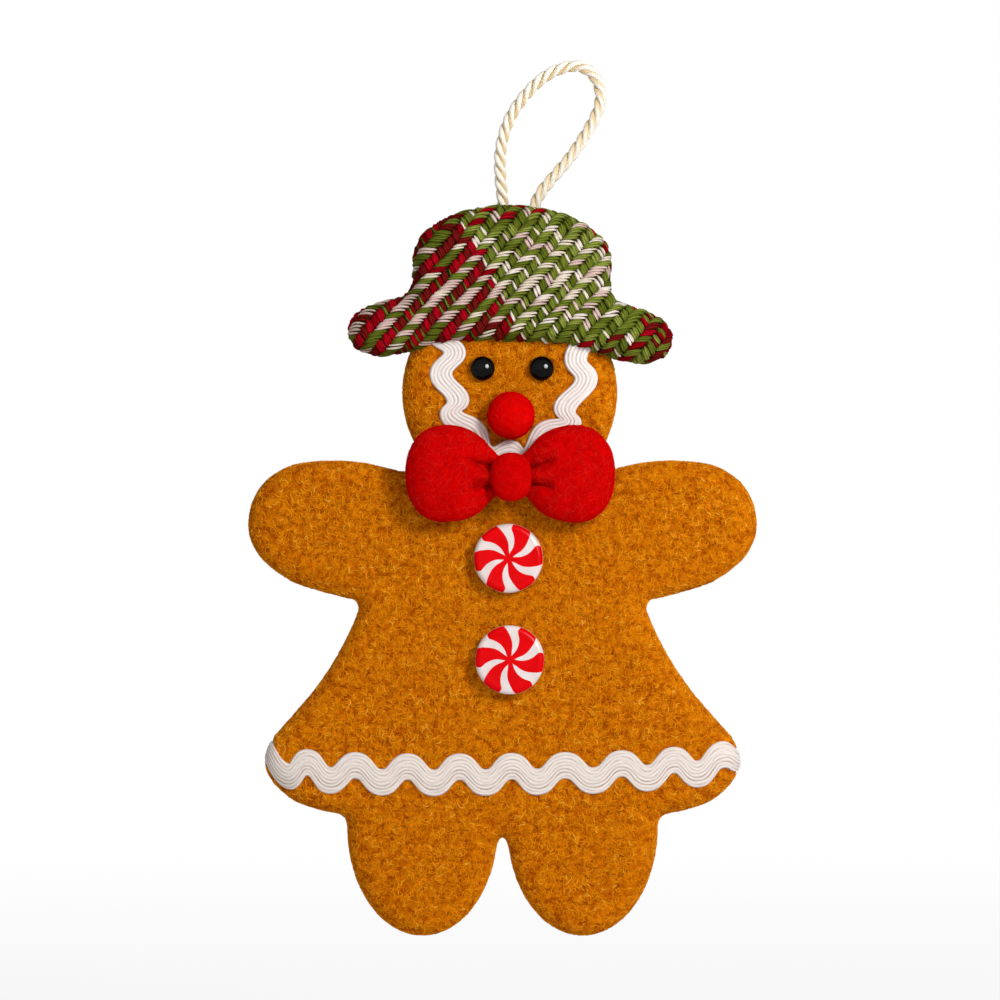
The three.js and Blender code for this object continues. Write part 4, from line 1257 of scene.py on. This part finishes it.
def make_thread():
    """Three turns of sewing thread that pinch the bow's middle."""
    steps, turns, radius = 240, 3, 0.2
    t = np.linspace(0, 1, steps)
    theta = TAU * turns * t
    high = BOW_SHARES[0][1] * BOW.half_height + 0.12
    deep = BOW_SHARES[0][2] * BOW.half_depth + 0.12
    x, y, z = BOW_X + 1.4 * (t - 0.5), BOW_Y - deep * np.cos(theta), BOW_Z + high * np.sin(theta)
    line = joined(x, y, z)[None]
    up = unit(line - np.array([BOW_X, BOW_Y, BOW_Z]))
    thick = np.full((1, steps), radius)
    across_up = (ways(line, up)[0], up)
    places, faces, _ = tubes(line, across_up, thick, thick, 10, ridges=0.15, ridge_count=3, twist=60)
    thread = new_mesh("pinch_thread", places, faces, THREAD)
    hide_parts("bow_gathering_thread")


def bow_rest(x, z):
    """How far the bow's back sinks to the cloth, beside the braid and the pads of glue."""
    flat = joined(BOW_X + x.ravel(), BOW_Z + z.ravel())
    clear = np.full(len(flat), np.inf)
    for spot in face_line()[::4]:
        clear = np.minimum(clear, np.hypot(*(flat - spot).T) - FACE_TRIM_WIDTH / 2)
    for way in (-1, 1):
        pad = (BOW_X + way * BOW.glue_offset, BOW_Z - BOW.glue_drop)
        clear = np.minimum(clear, np.hypot(*(flat - pad).T) - BOW.glue_radius)
    return (1.25 * ease((clear - 0.3) / 1.4)).reshape(x.shape)


def make_bow():
    """Two lobes lofted through BOW_SHARES, creased and folded towards the pinch."""
    rows, columns = 300, 120
    shares = np.array(BOW_SHARES, float)
    fine = np.vstack([spline(shares, steps=30), [shares[-1]]])
    u = 0.5 * np.sin(np.linspace(-math.pi / 2, math.pi / 2, rows)) + 0.5 * np.linspace(-1, 1, rows)
    h = np.interp(np.abs(u), fine[:, 0], fine[:, 1])
    d = np.interp(np.abs(u), fine[:, 0], fine[:, 2])
    theta = np.arange(columns) * TAU / columns
    c, s = np.cos(theta), np.sin(theta)
    x = np.repeat((u * BOW.half_length)[:, None], columns, 1)
    z = BOW.half_height * h[:, None] * powered(s, 0.95)[None]
    y = BOW_Y - BOW.half_depth * d[:, None] * powered(c, 0.95)[None]
    front = np.clip(c, 0, 1)[None] ** 0.5
    far = np.abs(x)
    fade = ease((11.8 - far) / 3) * np.clip((far - 2) / 2, 0, 1)
    creases = [(1, 1.5, 0.4, 5.6), (1, -2.5, -0.16, 5.6), (-1, 1.8, 0.31, 5.1), (-1, -2.8, -0.17, 5.1)]
    for side, start, slope, begin in creases:
        gap = z - (start + slope * (far - begin))
        cut = 2.2 * np.exp(-np.abs(gap) / 0.42) + 0.9 * np.exp(-((gap / 1.5) ** 2))
        y = y + np.where(side * x > 0, fade * cut * front, 0)
    middle = np.where(x > 0, -0.3, -0.4)
    fold = np.exp(-(((z - middle) / 1.5) ** 2)) * np.clip((11 - far) / 5, 0, 1)
    y = y - 1.9 * (fold * np.clip((far - 3) / 2, 0, 1)) * front
    y = np.minimum(y, BOW_BACK + bow_rest(x, z))
    places = joined(BOW_X + x, y, BOW_Z + z).reshape(-1, 3)
    soft = 0.22 * wobble(places, 7.0, 8) + 0.04 * wobble(places, 0.9, 9)
    out = joined(0 * x, -c[None], s[None]).reshape(-1, 3)
    places = places + out * (soft * (places[:, 1] < BOW_BACK - 0.2))[:, None]
    faces = np.vstack([grid_faces(rows, columns)[:, ::-1], end_caps(rows, columns, first=1)])
    bow = new_mesh("bow", places, faces, LIT_BOW_RED)
    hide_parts("bow_felt", "bow_stuffing_left", "bow_stuffing_right")
    fuzz("bow_fuzz", bow, 3000, (1.4, 3.8), 0.045, RED_FUZZ, lambda n: n[:, 1] < 0.25)


make_bow()
make_thread()
make_nose_and_knot()
fuzz("back_fuzz", back_felt, 3600, (1.5, 3.6), 0.045, BROWN_FUZZ, lambda n: n[:, 1] > 0.8)

# Buttons: flat-backed discs. Six curved red petals on white, along whose edges the faces are cut.

PETALS = 6
PETAL_PITCH = 360 / PETALS
PETAL_STEPS = 10
MOST_TURN = PETAL_PITCH / 2 - 0.1
DISH = 0.16


def petal_edges(share):
    """How far each petal's middle and two edges turn, in degrees, at a share of the radius."""
    middle = -18 * (1 - ease((share - 0.3) / 0.7))
    heart = 24 * math.exp(-((share / 0.15) ** 2))
    flare = 1.5 * math.exp(-(((share - 0.84) / 0.12) ** 2))
    corner = 4 * max((share - 0.85) / 0.15, 0) ** 1.5
    half = min(19.1 + heart - corner, MOST_TURN)
    return middle, min(half + flare, MOST_TURN), half - 0.2 * flare


def button_profile():
    """Radius and depth from the middle of the face to the middle of the back, and the face's rows."""
    big, rim, depth = BUTTON.radius, BUTTON.round, BUTTON.thickness
    radii = [(TIP, DISH - depth)]
    for share in np.linspace(0.05, 1, 28):
        radii.append((share * (big - rim), DISH * (1 - share**6) - depth))
    for turn in np.linspace(0, math.pi / 2, 12)[1:]:
        radii.append((big - rim + rim * math.sin(turn), rim * (1 - math.cos(turn)) - depth))
    face_rows = len(radii) - 4
    hollow, seat = BUTTON.glue_radius + 0.5, GLUE + 0.2
    radii += [(big - 0.05, -0.8), (big - BUTTON.crown, seat - 0.12), (big - 0.6, seat)]
    return radii + [(hollow, seat), (hollow - 0.05, 0), (TIP, 0)], face_rows


def make_buttons():
    radii, face_rows = button_profile()
    columns = 2 * PETALS * PETAL_STEPS
    y = FRONT_SEAT - GLUE - CLEARANCE
    for name, phase, shift in (("upper", 5.5, -0.35), ("lower", -4.6, 0)):
        x, z = BUTTON.shift + shift, ARMPIT + BUTTON_RISES[name] + 0.25
        rows = []
        for r, d in radii:
            middle, ahead, behind = petal_edges(min(r / BUTTON.radius, 1))
            angles = []
            for petal in range(PETALS):
                at = phase + middle + PETAL_PITCH * petal
                for edges in ((at - behind, at + ahead), (at + ahead, at + PETAL_PITCH - behind)):
                    angles += [*np.linspace(*edges, PETAL_STEPS + 1)[:-1]]
            a = np.radians(angles)
            rows.append(joined(x + r * np.cos(a), y + d, z + r * np.sin(a)))
        row, column = np.divmod(np.arange((len(radii) - 1) * columns), columns)
        index = np.where(row < 3, 0, (column // PETAL_STEPS) % 2)
        index = np.where(row > face_rows, 2, index)
        faces = grid_faces(len(radii), columns)[:, ::-1]
        piece = new_mesh(f"candy_button_{name}", np.vstack(rows), faces, CANDY, index=index)
        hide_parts(f"button_{name}")


make_buttons()

# Pieces that stay as CAD made them.

for node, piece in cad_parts.items():
    look = NYLON if "washer" in node else HOT_GLUE if "glue" in node else None
    for place in piece.material_slots if look else ():
        place.material = look
